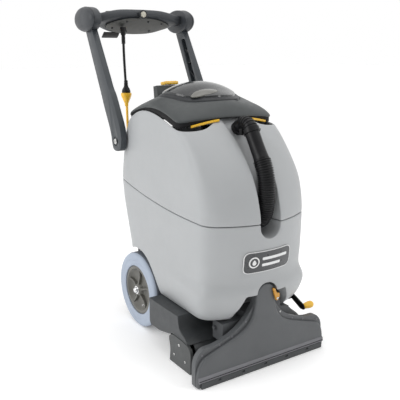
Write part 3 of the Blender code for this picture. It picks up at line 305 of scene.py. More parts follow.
def tube(name, points, radii, mat, body="machine", sides=24, **more):
    """Round bar along points, with one radius or one for each point."""
    pts = [Vector(p) for p in points]
    rings = []
    side = Vector((1, 0, 0))
    for i, p in enumerate(pts):
        along = (pts[min(i + 1, len(pts) - 1)] - pts[max(i - 1, 0)]).normalized()
        side = (side - along * side.dot(along)).normalized()
        over = along.cross(side)
        r = radii[i] if isinstance(radii, (list, tuple)) else radii
        rings.append([p + side * r * cos(a) + over * r * sin(a) for a in around(sides)])
    return loft(name, rings, mat, body, **more)


def rounded(points, radius, steps=5):
    """Round the corners of a closed outline. radius is one number or one for each corner."""
    out = []
    n = len(points)
    for i in range(n):
        p = Vector(points[i])
        r = radius[i] if isinstance(radius, (list, tuple)) else radius
        a = Vector(points[i - 1]) - p
        b = Vector(points[(i + 1) % n]) - p
        if r <= 0:
            out.append(tuple(p))
            continue
        start = p + a.normalized() * min(r, a.length * 0.49)
        end = p + b.normalized() * min(r, b.length * 0.49)
        for s in range(steps + 1):
            t = s / steps
            out.append(tuple(start * (1 - t) ** 2 + p * 2 * t * (1 - t) + end * t * t))
    return out


def slab(left, bottom, right, top):
    """Outline of a plain rectangle."""
    return [(left, bottom), (right, bottom), (right, top), (left, top)]


def table(rows, z):
    """Smooth values at height z from rows that start with their height."""
    k = 0
    while k < len(rows) - 2 and z > rows[k + 1][0]:
        k += 1
    low, high = rows[k], rows[k + 1]
    span = high[0] - low[0]
    t = min(max((z - low[0]) / span, 0.0), 1.0)
    values = []
    for c in range(1, len(low)):
        before = rows[k - 1] if k else low
        after = rows[k + 2] if k + 2 < len(rows) else high
        m0 = (high[c] - before[c]) / (high[0] - before[0]) * span
        m1 = (after[c] - low[c]) / (after[0] - low[0]) * span
        values.append(low[c] * (2 * t ** 3 - 3 * t * t + 1) + m0 * (t ** 3 - 2 * t * t + t)
                      + high[c] * (3 * t * t - 2 * t ** 3) + m1 * (t ** 3 - t * t))
    return values


def step(t):
    t = min(max(t, 0.0), 1.0)
    return t * t * (3 - 2 * t)


def bezier(p0, p1, p2, ts):
    return [tuple(Vector(p0) * (1 - t) ** 2 + Vector(p1) * 2 * t * (1 - t) + Vector(p2) * t * t)
            for t in ts]


def bake(obj):
    """Apply an object's modifiers."""
    bpy.context.view_layer.update()
    graph = bpy.context.evaluated_depsgraph_get()
    mesh = bpy.data.meshes.new_from_object(obj.evaluated_get(graph))
    old = obj.data
    obj.modifiers.clear()
    obj.data = mesh
    bpy.data.meshes.remove(old)
    return obj


def subtract(obj, cutters, bevel=0.0):
    """Cut shapes out of a solid and soften the edges that this leaves."""
    for cutter in cutters:
        mod = obj.modifiers.new("cut", "BOOLEAN")
        mod.operation = "DIFFERENCE"
        mod.object = cutter
        mod.solver = "EXACT"
    if bevel:
        mod = obj.modifiers.new("edges", "BEVEL")
        mod.width = bevel
        mod.segments = 2
        mod.limit_method = "ANGLE"
        mod.angle_limit = radians(50)
    bake(obj)
    for cutter in cutters:
        bpy.data.objects.remove(cutter, do_unlink=True)
    obj.data.set_sharp_from_angle(angle=radians(38))
    return obj


def screw(name, at, axis, body, radius=0.004, mat="steel"):
    """Round screw head with a driver recess, standing on a face whose outward normal is axis."""
    n = Vector(axis).normalized()
    u = n.orthogonal().normalized()
    v = n.cross(u)
    rings = []
    for r, h in ((1.0, 0.0), (1.0, 0.25), (0.80, 0.45), (0.45, 0.50), (0.40, 0.20), (0.12, 0.15)):
        middle = Vector(at) + n * h * radius
        rings.append([middle + u * r * radius * cos(a) + v * r * radius * sin(a)
                      for a in around(14)])
    return loft(name, rings, mat, body)


# ---------------------------------------------------------------- camera and cords

def make_camera():
    data = bpy.data.cameras.new("camera")
    data.lens = 55.26
    data.sensor_width = 36.0
    cam = bpy.data.objects.new("camera", data)
    cam.location = (-1.0721, -1.6689, 0.910)
    cam.rotation_euler = (radians(76.25), radians(0.03), radians(-33.74))
    bpy.context.collection.objects.link(cam)
    bpy.context.scene.camera = cam


MAINS_ROUTE = [
    (-0.0535, 0.330, 0.7127), (-0.0533, 0.330, 0.680), (-0.0525, 0.3305, 0.640),
    (-0.051, 0.3312, 0.590), (-0.049, 0.3325, 0.540), (-0.0465, 0.334, 0.490),
    (-0.043, 0.336, 0.440), (-0.0385, 0.3385, 0.390), (-0.033, 0.342, 0.340),
    (-0.026, 0.346, 0.290), (-0.0175, 0.3515, 0.240), (-0.008, 0.358, 0.195),
    (0.003, 0.3665, 0.153), (0.0135, 0.377, 0.117), (0.0225, 0.390, 0.088),
    (0.029, 0.406, 0.068), (0.033, 0.423, 0.058), (0.035, 0.440, 0.054),
]
LEAD_ROUTE = [
    (-0.060, 0.330, 0.9305), (-0.0597, 0.3303, 0.912), (-0.059, 0.3308, 0.890),
    (-0.0582, 0.331, 0.865), (-0.0573, 0.3308, 0.840), (-0.0566, 0.3304, 0.820),
    (-0.0562, 0.330, 0.805),
]


def coil_route():
    """Six layers wound clockwise from the top, each a flat spiral, then a tail to the plug."""
    inner, outer, start, pitch = 0.0635, 0.1065, 0.085, 0.009093
    layer, bottom = 0.0092, 0.0048
    span = outer - inner
    turns = (outer - start + 5 * span) / pitch
    count = int(turns * 18)
    points = []
    for i in range(1, count + 1):
        turn = turns * i / count
        run = start - inner + turn * pitch
        lap = run % (2 * span)
        radius = inner + (lap if lap < span else 2 * span - lap)
        depth = 0.0
        for k in range(1, 6):
            depth += step((turn - (k * span - (start - inner)) / pitch) * 4 + 0.5)
        z = bottom + layer * (5 - depth) + (0.0544 - bottom - 5 * layer) * step(1 - turn * 5)
        angle = pi - 2 * pi * turn
        points.append(COIL + Vector((radius * cos(angle), radius * sin(angle), z)))
    end = pi - 2 * pi * turns
    bend = 0.040
    centre = COIL + (inner - bend) * Vector((cos(end), sin(end), 0.0))
    for i in range(1, 15):
        angle = end - radians(125) * i / 14
        z = bottom + (0.0135 - bottom) * step(i / 14)
        points.append(centre + Vector((bend * cos(angle), bend * sin(angle), z)))
    return points


def make_cords():
    route = through(MAINS_ROUTE, 2) + coil_route()
    mains = tube("mains_lead", route, CORD_D / 2, "cord", None, sides=10)
    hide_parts("mains_cord", "cord_coil")

    plug_at = COIL + Vector((0.0015, 0.0327, 0.0135))
    along = Vector((0.7815, -0.6239, 0.0)).normalized()
    across = Vector((-along.y, along.x, 0.0))
    rings = []
    for d, half, high in ((0.0, 0.005, 0.005), (0.006, 0.0056, 0.0056), (0.012, 0.0064, 0.0062),
                          (0.018, 0.008, 0.008), (0.022, 0.0118, 0.0102), (0.025, 0.013, 0.011),
                          (0.036, 0.0142, 0.0116), (0.047, 0.0148, 0.0118),
                          (0.051, 0.0142, 0.0112), (0.052, 0.0128, 0.010)):
        rings.append([plug_at + along * d + across * half * cos(a) + Vector((0, 0, high * sin(a)))
                      for a in around(20)])
    plug = loft("lead_plug", rings, "yellow", "machine", replaces=["mains_plug"])
    for k, (u, v) in enumerate(((-0.0065, 0.003), (0.0065, 0.003), (0.0, -0.0055))):
        pin = [plug_at + along * d + across * u + Vector((0, 0, v)) for d in (0.050, 0.058, 0.060)]
        tube("plug_pin_%d" % k, pin, [0.0022, 0.0022, 0.0012], "steel", "machine", 12)
    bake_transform(mains)

    lead_points = through(LEAD_ROUTE, 3)
    lead = tube("console_lead", lead_points, CORD_D / 2, "black", "handle", sides=14,
                replaces=["lead_cord"])
    top = Vector(LEAD_ROUTE[0])
    profile = [(0, 0.0), (0.0056, 0.0)]
    for k in range(7):
        z = 0.001 + k * 0.004
        profile += [(0.007, z), (0.0074, z + 0.0022), (0.0058, z + 0.0026), (0.0058, z + 0.0038)]
    profile += [(0.0085, 0.030), (0.0085, 0.040), (0.0105, 0.0412), (0.0105, 0.0555),
                (0.010, 0.056), (0, 0.056)]
    gland = turned("lead_gland", profile, "z", top, "black", "handle", 24,
                   replaces=["cord_gland"])
    foot = Vector((-0.0548, 0.330, 0.7132))
    shell = [(0, 0.0), (0.006, 0.0), (0.0066, 0.002), (0.0066, 0.008), (0.0078, 0.012),
             (0.0115, 0.020), (0.0155, 0.029), (0.0182, 0.036), (0.019, 0.040), (0.019, 0.0445),
             (0.018, 0.047), (0.015, 0.0478), (0, 0.0478)]
    socket = turned("connector_socket", shell, "z", foot, "yellow", "handle", 28,
                    replaces=["cord_connector"])
    cap = [(0, 0.0482), (0.015, 0.0482), (0.0155, 0.050), (0.015, 0.056), (0.0115, 0.064),
           (0.0085, 0.068), (0.0078, 0.072), (0.0078, 0.074), (0.0066, 0.0746),
           (0.0066, 0.0766), (0.0076, 0.0772), (0.0076, 0.080), (0.0064, 0.0806),
           (0.0064, 0.083), (0.007, 0.0838), (0.007, 0.086), (0.0058, 0.0915), (0, 0.0915)]
    upper = turned("connector_plug", cap, "z", foot, "black", "handle", 28)


# ---------------------------------------------------------------- tanks

def seam_height(y):
    return 0.444 + 0.24 * max(y + 0.28, 0.0) ** 2


def front_lift(high, x, y):
    """How far the tank's rim and the lid rise towards the middle of the front."""
    return high * (1 - (x / 0.175) ** 2) * step((-0.12 - y) / 0.10)


def rim_height(x, y):
    fall = 1.2 if y < 0.0 else 3.2
    rim = 0.729 - fall * y * y + front_lift(0.048, x, y)
    if y >= 0.0:
        return rim
    above = rim - RIM_LOWEST
    return RIM_LOWEST + (above + sqrt(above * above + RIM_BLEND * RIM_BLEND)) / 2


def lid_height(x, y):
    return 0.743 - 1.45 * (y + 0.05) ** 2 + front_lift(0.0265, x, y)


def bowed(x, front, corner, wide):
    return front + (corner - front) * (x / wide) ** 2


def flank(begin, wide, corner, nose, wide_back, back, tail, bends, straight):
    """Outline round the front corner, along the side and round the back corner."""
    steps = [k / bends for k in range(1, bends + 1)]
    points = bezier(begin, (wide, corner), (wide, corner + nose), steps)
    start, end = Vector((wide, corner + nose)), Vector((wide_back, back - tail))
    points += [tuple(start.lerp(end, k / straight)) for k in range(1, straight + 1)]
    return points + bezier(points[-1], (wide_back, back), (wide_back - tail, back), steps)


def outline(z, inset=0.0):
    """Half outline of the tank at height z, from the mid-plane round to the back."""
    front, corner, wide, wide_back, back = table(BODY_STATIONS, z)
    front, corner = front + inset, corner + inset
    wide, wide_back, back = wide - inset, wide_back - inset, back - inset
    bow = lambda x: bowed(x, front, corner, wide)
    drop = min(max((GROOVE_END_Z - z) / GROOVE_END_R, 0.0), 1.0)
    deep = z > GROOVE_END_Z - GROOVE_END_R - 0.0002
    half = max(GROOVE_HALF * sqrt(max(1 - drop * drop, 0.0)), 0.004) + inset
    floor = table(GROOVE_FLOOR, z)[0] + inset if deep else None
    points = []
    for s in (0.0, 0.30, 0.55, 0.75, 0.88, 0.96, 1.0):
        x = s * half
        if deep:
            edge = bow(half) + LIP
            y = floor - (floor - edge) * (1 - sqrt(1 - s ** 6))
        else:
            y = bow(x)
        points.append((x, y))
    for angle in (30, 60, 90):
        a = radians(angle)
        x = half + LIP * (1 - cos(a))
        points.append((x, bow(x) + (LIP * (1 - sin(a)) if deep else 0.0)))
    nose, tail = 0.03, 0.06
    begin, reach = points[-1][0], wide - nose
    for part in range(1, 8):
        x = begin + (reach - begin) * part / 7
        points.append((x, bow(x)))
    points += flank(points[-1], wide, corner, nose, wide_back, back, tail, 7, 24)
    points += [((wide_back - tail) * 0.5, back + 0.003), (0.0, back + 0.004)]
    return points


def tank_ring(height, inset=0.0):
    """Closed ring on the tank wall at height(x, y)."""
    half = outline(height(0.1, -0.1), inset)
    for _ in range(5):
        half = [outline(height(*p), inset)[i] for i, p in enumerate(half)]
    whole = half + [(-x, y) for x, y in reversed(half[1:-1])]
    return [(x, y, height(x, y)) for x, y in whole]


def flat(z):
    return lambda x, y: z


def round_edge(base, up, radius=0.0028):
    """Rings that round an edge at base(x, y); up is +1 for a top edge, -1 for a bottom one."""
    rings = []
    for angle in (0, 30, 60, 90):
        a = radians(angle)
        rings.append(tank_ring(lambda x, y: base(x, y) - up * radius * (1 - sin(a)),
                               radius * (1 - cos(a))))
    return rings


def make_tanks():
    top = lambda x, y: seam_height(y) - SEAM_GAP / 2
    bottom_edge = round_edge(flat(TANK_BOTTOM), -1)[::-1]
    levels = [0.163, 0.168, 0.175, 0.185, 0.195, 0.205, 0.215, 0.225, 0.235, 0.245, 0.253, 0.260,
              0.266, 0.272, 0.280, 0.290, 0.305, 0.325, 0.345, 0.365, 0.380, 0.390, 0.3965,
              0.3996, 0.4001, 0.4004, 0.4012, 0.4025, 0.4045, 0.407, 0.411, 0.416, 0.422, 0.429,
              0.434]
    rings = bottom_edge + [tank_ring(flat(z)) for z in levels]
    rings += [tank_ring(lambda x, y: top(x, y) - 0.008)] + round_edge(top, 1)
    tank = loft("solution_tank_shell", rings, "tank", "machine", replaces=["solution_tank"])
    subtract(tank, tank_cutters(), bevel=0.0018)

    bottom = lambda x, y: seam_height(y) + SEAM_GAP / 2
    inner_floor = lambda x, y: bottom(x, y) + WALL

    def level(part, base, inset=0.0):
        return tank_ring(lambda x, y: base(x, y) + part * (rim_height(x, y) - base(x, y)), inset)

    rings = round_edge(bottom, -1)[::-1]
    rings += [level(0.03 + 0.94 * k / 20, bottom) for k in range(21)]
    rings += round_edge(rim_height, 1, 0.002)
    rings += [level(0.985 - 0.985 * k / 12, inner_floor, WALL) for k in range(13)]
    loft("recovery_tank_shell", rings, "tank", "machine", replaces=["recovery_tank"])


def tank_cutters():
    cutters = []
    for side in (-1, 1):
        well = [(0, side * 0.119), (0.139, side * 0.119), (0.145, side * 0.125),
                (0.145, side * 0.26), (0, side * 0.26)]
        cutters.append(turned("cutter_well", well, "x", (0, AXLE_Y, WHEEL_R), "black", None, 96))
    half = [(0.096, 0.10), (0.096, 0.180), (0.0945, 0.187), (0.0735, 0.233), (0.069, 0.236),
            (0.040, 0.236), (0.0365, 0.238)]
    half += [(0.036 * cos(a), 0.238 + 0.028 * sin(a)) for a in (0.2, 0.4, 0.6, 0.8, 1.0, 1.2, 1.4)]
    notch = half + [(0.0, 0.266)] + [(-x, z) for x, z in reversed(half)]
    cutters.append(prism("cutter_notch", notch, "y", -0.50, -0.315, "black", None))
    pocket = slab(-0.050, 0.150, 0.050, 0.280)
    cutters.append(prism("cutter_pocket", pocket, "y", -0.402, -0.3149, "black", None))
    return cutters


def make_badge():
    """Curved dark name plate with a pale rim, two plain bars and a drop in a ring."""
    def on_front(x, z, out):
        front, corner, wide = table(BODY_STATIONS, z)[:3]
        return (x, bowed(x, front, corner, wide) - 0.0016 - out, z)

    def patch(name, shape, low, high, mat, **more):
        """Plate that follows the curved front: shape is an outline of (x, z)."""
        n = len(shape)
        verts = [on_front(x, z, low) for x, z in shape] + [on_front(x, z, high) for x, z in shape]
        cx = sum(x for x, _ in shape) / n
        cz = sum(z for _, z in shape) / n
        rings = 6
        faces = [(i, (i + 1) % n, n + (i + 1) % n, n + i) for i in range(n)]
        start = n
        for k in range(1, rings):
            s = 1 - k / rings
            verts += [on_front(cx + (x - cx) * s, cz + (z - cz) * s, high) for x, z in shape]
            fresh = n * (k + 1)
            faces += [(start + i, start + (i + 1) % n, fresh + (i + 1) % n, fresh + i)
                      for i in range(n)]
            start = fresh
        faces.append(tuple(range(start, start + n)))
        faces.append(tuple(range(n)))
        return add(name, verts, faces, mat, "machine", **more)

    def dense(shape):
        """Split the long edges, so a plate bends evenly over the tank's front."""
        longest = 0.005
        out = []
        for i, p in enumerate(shape):
            p, q = Vector(p), Vector(shape[(i + 1) % len(shape)])
            steps = max(1, ceil((q - p).length / longest))
            out += [tuple(p.lerp(q, k / steps)) for k in range(steps)]
        return out

    def frame_of(grow):
        corners = slab(-0.084 - grow, 0.303 - grow, 0.084 + grow, 0.367 + grow)
        return dense(rounded(corners, 0.020 + grow, 7))

    patch("badge_rim", frame_of(0.0), 0.0001, 0.0016, "white", replaces=["badge_plate"])
    patch("badge_panel", frame_of(-0.0022), 0.0012, 0.0021, "badge")
    ring_mid = (-0.052, 0.336)
    for name, r, low, high, mat in (("badge_disc", 0.0165, 0.002, 0.0024, "white"),
                                    ("badge_disc_inner", 0.0125, 0.0022, 0.0026, "badge")):
        disc = [(ring_mid[0] + r * cos(a), ring_mid[1] + r * sin(a)) for a in around(32)]
        patch(name, disc, low, high, mat)
    drop = [(ring_mid[0] + 0.0062 * cos(a) * (1 - 0.35 * max(sin(a), 0.0)),
             ring_mid[1] - 0.002 + 0.0062 * sin(a) * (1.5 if sin(a) > 0 else 1.0))
            for a in around(24)]
    patch("badge_drop", drop, 0.0024, 0.0028, "white")
    for k, (low, high, z) in enumerate(((-0.026, 0.066, 0.344), (-0.026, 0.040, 0.325))):
        bar = rounded(slab(low, z - 0.0042, high, z + 0.0042), 0.003)
        patch("badge_bar_%d" % k, dense(bar), 0.002, 0.0024, "white")


# ---------------------------------------------------------------- lid

def lid_outline():
    """Closed plan outline of the lid."""
    front, corner, wide, nose = -0.233, -0.208, LID_REACH_X, 0.022
    wide_back, back, tail = 0.163, 0.126, 0.05
    half = []
    for k in range(13):
        x = (wide - nose) * k / 12
        half.append((x, bowed(x, front, corner, wide)))
    half += flank(half[-1], wide, corner, nose, wide_back, back, tail, 6, 12)
    half += [((wide_back - tail) * s, back + 0.004 * (1 - s)) for s in (0.75, 0.5, 0.25, 0.0)]
    return half + [(-x, y) for x, y in reversed(half[1:-1])]


LID_OUTLINE = lid_outline()


def lid_top(x, y, part):
    crown = LID_CROWN * max(1 - part * part, 0.0) ** 0.8
    return lid_height(x, y) + LID_SKIN + crown


def lid_ring(part, sink=0.0, inset=0.0):
    """Ring on the lid's crown: part is 1 at the edge and 0 at the middle."""
    ring = []
    blend = step((1 - part) / 0.30)
    for x, y in LID_OUTLINE:
        turn = atan2((y - LID_CENTRE_Y) / LID_REACH_Y, x / LID_REACH_X)
        x += (LID_REACH_X * cos(turn) - x) * blend
        y += (LID_CENTRE_Y + LID_REACH_Y * sin(turn) - y) * blend
        px, py = x * part, LID_CENTRE_Y + (y - LID_CENTRE_Y) * part
        reach = hypot(px, py - LID_CENTRE_Y)
        if inset and reach > 0:
            px -= px / reach * inset
            py -= (py - LID_CENTRE_Y) / reach * inset
        ring.append((px, py, lid_top(px, py, part) - sink))
    return ring


def make_lid():
    rise = lambda part, edge: 0.005 + 0.015 * max(1 - (part / edge) ** 2, 0.0) ** 0.7
    parts = [0.995, 0.985, 0.97, 0.95, 0.92, 0.89, 0.86, 0.83, 0.80, 0.775, 0.752]
    rings = [lid_ring(1.0, 0.0046, 0.0012), lid_ring(1.0, 0.0028), lid_ring(1.0, 0.0012),
             lid_ring(0.998, 0.0002)]
    rings += [lid_ring(part) for part in parts]
    rings += [lid_ring(0.742, 0.0006), lid_ring(0.734, 0.0032)]
    rings += [lid_ring(part, 0.0062) for part in (0.74, 0.80, 0.88, 0.96)]
    loft("lid_frame", rings, "lid", "lid", loop=True, replaces=["lid"])

    rings = [lid_ring(0.733, 0.0034), lid_ring(0.726, -0.0004), lid_ring(0.715, -0.0022)]
    rings += [lid_ring(part, -0.0022 - 0.0006 * k) for k, part in
              enumerate((0.70, 0.685, 0.67, 0.655))]
    rings += [lid_ring(0.648, -0.0034), lid_ring(0.640, -0.001), lid_ring(0.700, 0.0034)]
    loft("lid_band", rings, "rib", "lid", loop=True)

    edge = 0.69
    parts = [0.645, 0.62, 0.58, 0.53, 0.47, 0.40, 0.32, 0.24, 0.16, 0.08, 0.02]
    rings = [lid_ring(0.655, 0.0012), lid_ring(0.650, -0.001)]
    rings += [lid_ring(part, -rise(part, edge)) for part in parts]
    loft("lid_dome", rings, "smoke", "lid", replaces=["lid_window"])
    # grip blister moulded in the dome, towards the front left
    def dome(x, y, out):
        part = max(hypot(x / LID_REACH_X, (y - LID_CENTRE_Y) / LID_REACH_Y), 0.02)
        return (x, y, lid_top(x, y, part) + rise(min(part, 0.64), edge) + out)

    half_long, half_wide, lean = 0.046, 0.015, 0.012
    rows, columns = 13, 9
    verts = []
    for k in range(rows):
        u = -1 + 2 * k / (rows - 1)
        half = half_wide * max(1 - u * u, 0.0) ** 0.55 + 0.0004
        for m in range(columns):
            v = -1 + 2 * m / (columns - 1)
            x = -0.036 + half_long * u + lean * v * half / half_wide
            y = -0.142 - 0.006 * u + half * v
            verts.append(dome(x, y, 0.0004 + 0.0026 * (1 - v * v) * max(1 - u * u, 0.0)))
    faces = [(a * columns + b, a * columns + b + 1, (a + 1) * columns + b + 1,
              (a + 1) * columns + b) for a in range(rows - 1) for b in range(columns - 1)]
    blister = add("lid_grip_blister", verts, faces, "lens", None)
    mod = blister.modifiers.new("thick", "SOLIDIFY")
    mod.thickness = 0.003
    mod.offset = -1
    bake(blister)
    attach(blister, "lid")

    def seal(inset, base, up):
        return [(x, y, base(x, y) + up) for x, y, _ in lid_ring(1.0, 0, inset)]
    rings = [seal(0.004, lid_height, -0.0006), seal(0.0145, lid_height, -0.0006),
             seal(0.015, rim_height, 0.0038), seal(0.0145, rim_height, 0.0025),
             seal(0.0042, rim_height, 0.0025), seal(0.003, rim_height, 0.0045),
             seal(0.003, lid_height, -0.0022)]
    loft("lid_seal", rings, "rubber", "lid", loop=True, replaces=["lid_gasket"])

    bar = rounded([(0.104, 0.799), (0.133, 0.7945), (0.136, 0.805), (0.106, 0.8095)], 0.004)
    prism("lid_latch_bar", bar, "x", -0.026, 0.026, "yellow", "lid_latch", bevel=0.0016,
          sharp=50, replaces=["lid_latch"])
    for k, x in enumerate((-0.016, -0.008, 0.0, 0.008, 0.016)):
        rib = rounded([(0.108, 0.8085), (0.133, 0.8042), (0.133, 0.8058), (0.108, 0.8101)],
                      0.0006, 2)
        prism("lid_latch_rib_%d" % k, rib, "x", x - 0.001, x + 0.001, "yellow", "lid_latch")
    # hinge: knuckles on the lid and on the tank, round the pin
    for k, x in enumerate((-0.046, -0.030, 0.014, 0.030)):
        on_lid = k % 2 == 0
        ring = [(0.0032, x), (0.0058, x), (0.0062, x + 0.001), (0.0062, x + 0.014),
                (0.0058, x + 0.015), (0.0032, x + 0.015)]
        body = "lid" if on_lid else "machine"
        turned("hinge_knuckle_%d" % k, ring, "x", (0, HINGE_Y, HINGE_Z), "housing", body, 24,
               ring=True)
        if on_lid:
            leaf = [(HINGE_Y - 0.004, HINGE_Z + 0.0035), (HINGE_Y + 0.003, HINGE_Z + 0.005),
                    (HINGE_Y - 0.010, HINGE_Z + 0.0125), (0.123, HINGE_Z + 0.0035),
                    (0.1225, HINGE_Z)]
        else:
            leaf = [(HINGE_Y - 0.0045, HINGE_Z - 0.004), (HINGE_Y + 0.002, HINGE_Z - 0.0056),
                    (HINGE_Y - 0.002, HINGE_Z - 0.034), (0.133, HINGE_Z - 0.034)]
        prism("hinge_leaf_%d" % k, leaf, "x", x + 0.001, x + 0.014, "housing", body)
    # small clip on the front of the frame, right of the hose
    screw("lid_clip", (0.060, -0.172, lid_height(0.060, -0.172) + 0.030), (0.1, -0.45, 0.9),
          "lid", 0.006, "housing")


# ---------------------------------------------------------------- hose

def make_hose():
    centre = Vector((0, -0.2965, 0.682))
    arc = [centre + 0.026 * Vector((0, cos(a), sin(a)))
           for a in (radians(60 + 87 * i / 12) for i in range(13))]
    root = arc[0] + 0.032 * Vector((0, 0.866, -0.5))
    arc = [root, root.lerp(arc[0], 0.5)] + arc
    down = Vector((0, -0.54, -0.84)).normalized()
    collar = [arc[-1] + down * d for d in (0.0015, 0.0018, 0.015, 0.0158)]
    tube("hose_elbow_shell", arc + collar, [0.020] * len(arc) + [0.0205, 0.0243, 0.0243, 0.0235],
         "hose", replaces=["hose_elbow"])
    for k in range(1, len(arc) - 1, 2):
        along = (arc[k + 1] - arc[k - 1]).normalized()
        ring = [arc[k] - along * 0.0013, arc[k] - along * 0.001, arc[k] + along * 0.001,
                arc[k] + along * 0.0013]
        tube("hose_elbow_rib_%d" % k, ring, [0.0198, 0.0216, 0.0216, 0.0198], "hose")
    start = collar[-1]
    cuff = [start + down * d for d in (0.0008, 0.001, 0.006, 0.030, 0.060, 0.078, 0.081)]
    radii = [0.019, 0.0213, 0.0213, 0.0208, 0.021, 0.022, 0.0226]
    low = through([arc[-1] + down * 0.07, arc[-1] + down * 0.098, (0, -0.386, 0.5845),
                   (0, -0.394, 0.5507), (0, -0.395, 0.5092), (0, -0.390, 0.4726),
                   (0, -0.380, 0.4463), (0, -0.365, 0.435), (0, -0.350, 0.433)], 40)[40:]
    # rings of the hose at even spacing along its line
    length, marks = 0.0, [0.0]
    for a, b in zip(low, low[1:]):
        length += (b - a).length
        marks.append(length)

    def at(d):
        k = 0
        while k < len(marks) - 2 and marks[k + 1] < d:
            k += 1
        share = (d - marks[k]) / max(marks[k + 1] - marks[k], 1e-9)
        return low[k].lerp(low[k + 1], min(max(share, 0.0), 1.0))

    pitch = 0.0062
    points, sizes = [], []
    for k in range(int(length / pitch)):
        base = k * pitch
        fade = 1.0 - 0.26 * step((base - length * 0.62) / (length * 0.32))
        for d, r in ((0.0, 0.0222), (0.001, 0.0222), (0.0018, 0.0246), (0.003, 0.0252),
                     (0.0042, 0.0246), (0.005, 0.0222)):
            points.append(at(base + d))
            sizes.append(r * fade)
    tube("suction_hose", cuff + points, radii + sizes, "hose", sides=32, sharp=60,
         replaces=["recovery_hose"])
    clip = rounded(slab(0.016, 0.6855, 0.030, 0.6945), 0.002)
    prism("hose_clip", clip, "y", -0.3185, -0.313, "yellow", bevel=0.001)
    tab = rounded([(0.030, 0.686), (0.038, 0.688), (0.038, 0.693), (0.030, 0.694)], 0.001)
    prism("hose_clip_tab", tab, "y", -0.3165, -0.314, "black")
    for side, word in SIDES:
        ear = rounded([(side * 0.0195, 0.676), (side * 0.0265, 0.6785), (side * 0.0265, 0.6935),
                       (side * 0.0195, 0.696)], 0.002)
        prism("hose_ear_" + word, ear, "y", -0.312, -0.300, "hose", bevel=0.001)


def make_rim_grips():
    for side, word in SIDES:
        rings = []
        for k in range(17):
            x = 0.048 + 0.086 * k / 16
            y = -0.2345 + 0.025 * (x / 0.172) ** 2
            z = rim_height(x, y) + 0.0006
            shape = rounded(slab(-0.0034, 0.0, 0.0022, 0.0068), 0.0015, 2)
            rings.append([(side * x, y + dy, z + dz) for dy, dz in shape])
        loft("rim_strip_" + word, rings, "yellow", replaces=["rim_grip_" + word])


# ---------------------------------------------------------------- wheels

def inboard(outer, rows):
    """Turned profile from (radius, depth under the outer face)."""
    return [(radius, outer - depth) for radius, depth in rows]


def make_wheels():
    half, middle = (WHEEL_OUT - WHEEL_IN) / 2, (WHEEL_OUT + WHEEL_IN) / 2
    for side, word in SIDES:
        body = "wheel_" + word
        centre = (side * middle, AXLE_Y, WHEEL_R)
        face = inboard(half, ((0.083, 0.002), (0.0845, 0.0006), (0.088, 0), (0.100, 0),
                              (0.1015, 0.0006), (0.103, 0), (0.117, 0), (0.1205, 0.0012),
                              (0.1235, 0.0036), (0.125, 0.0062), (0.1256, 0.0085),
                              (0.120, 0.009), (0.0835, 0.009)))
        for mark, flip in (("out", 1), ("in", -1)):
            turned("tyre_face_%s_%s" % (mark, word), on_side(side * flip, face), "x",
                   centre, "tyre", body, 96, ring=True,
                   replaces=["tyre_" + word] if flip > 0 else ())
        tread = [(0.085, half - 0.0092), (0.1252, half - 0.0092), (0.1262, half - 0.0105)]
        for k in range(5):
            a = half - 0.0125 - k * 0.0052
            tread += [(WHEEL_R, a + 0.0008), (WHEEL_R, a - 0.0026), (0.1257, a - 0.003),
                      (0.1257, a - 0.0038)]
        tread += [(0.1262, 0.0105 - half), (0.1252, 0.0092 - half), (0.085, 0.0092 - half)]
        turned("tyre_tread_" + word, on_side(side, tread), "x", centre, "tread",
               body, 96, ring=True)
        rim = inboard(half, ((0.0083, 0.0012), (0.015, 0.0012), (0.0175, 0.0024),
                             (0.019, 0.005), (0.0215, 0.014), (0.026, 0.0172), (0.048, 0.019),
                             (0.059, 0.0172), (0.066, 0.011), (0.070, 0.005), (0.072, 0.0032),
                             (0.079, 0.0032), (0.0812, 0.004), (0.0818, 0.006)))
        rim += [(0.0818, 0.006 - half), (0.066, 0.006 - half), (0.060, -0.004), (0.021, -0.004),
                (0.018, 0.002 - half), (0.0083, 0.002 - half)]
        turned("hub_dish_" + word, on_side(side, rim), "x", centre, "hub", body, 72,
               ring=True, replaces=["wheel_hub_" + word])
        for k in range(5):
            angle = radians(90 + 72 * k)
            c, s = cos(angle), sin(angle)
            rings = []
            for r, high, wide in ((0.0165, 0.0035, 0.004), (0.026, 0.006, 0.0034),
                                  (0.042, 0.010, 0.003), (0.056, 0.0096, 0.003),
                                  (0.068, 0.0062, 0.004)):
                top, root = half - high, half - 0.020
                shape = [(-wide, root), (-wide, top - 0.0008), (-wide * 0.6, top),
                         (wide * 0.6, top), (wide, top - 0.0008), (wide, root)]
                rings.append([(side * (middle + a), AXLE_Y + r * c - w * s,
                               WHEEL_R + r * s + w * c) for w, a in shape])
            loft("hub_rib_%s_%d" % (word, k), rings, "hub", body)
        cap = [(0, 0.0003), (0.014, 0.0003), (0.0142, 0.001), (0.0138, 0.0022), (0.0102, 0.0026),
               (0.010, 0.0035), (0.0096, 0.0066), (0.0082, 0.0092), (0.0058, 0.0112),
               (0.003, 0.0119), (0, 0.012)]
        turned("nut_cap_" + word, on_side(side, cap), "x",
               (side * (WHEEL_OUT - 0.001), AXLE_Y, WHEEL_R), "chrome", "machine", 32,
               replaces=["wheel_nut_" + word])
        valve = [(0, 0.0), (0.0036, 0.0), (0.0036, 0.003), (0.0028, 0.0036), (0.0028, 0.007),
                 (0, 0.0072)]
        turned("hub_stud_" + word, on_side(side, valve), "x",
               (side * (WHEEL_OUT - 0.0172), AXLE_Y - 0.018, WHEEL_R - 0.052), "chrome", body, 16)


# ---------------------------------------------------------------- handle

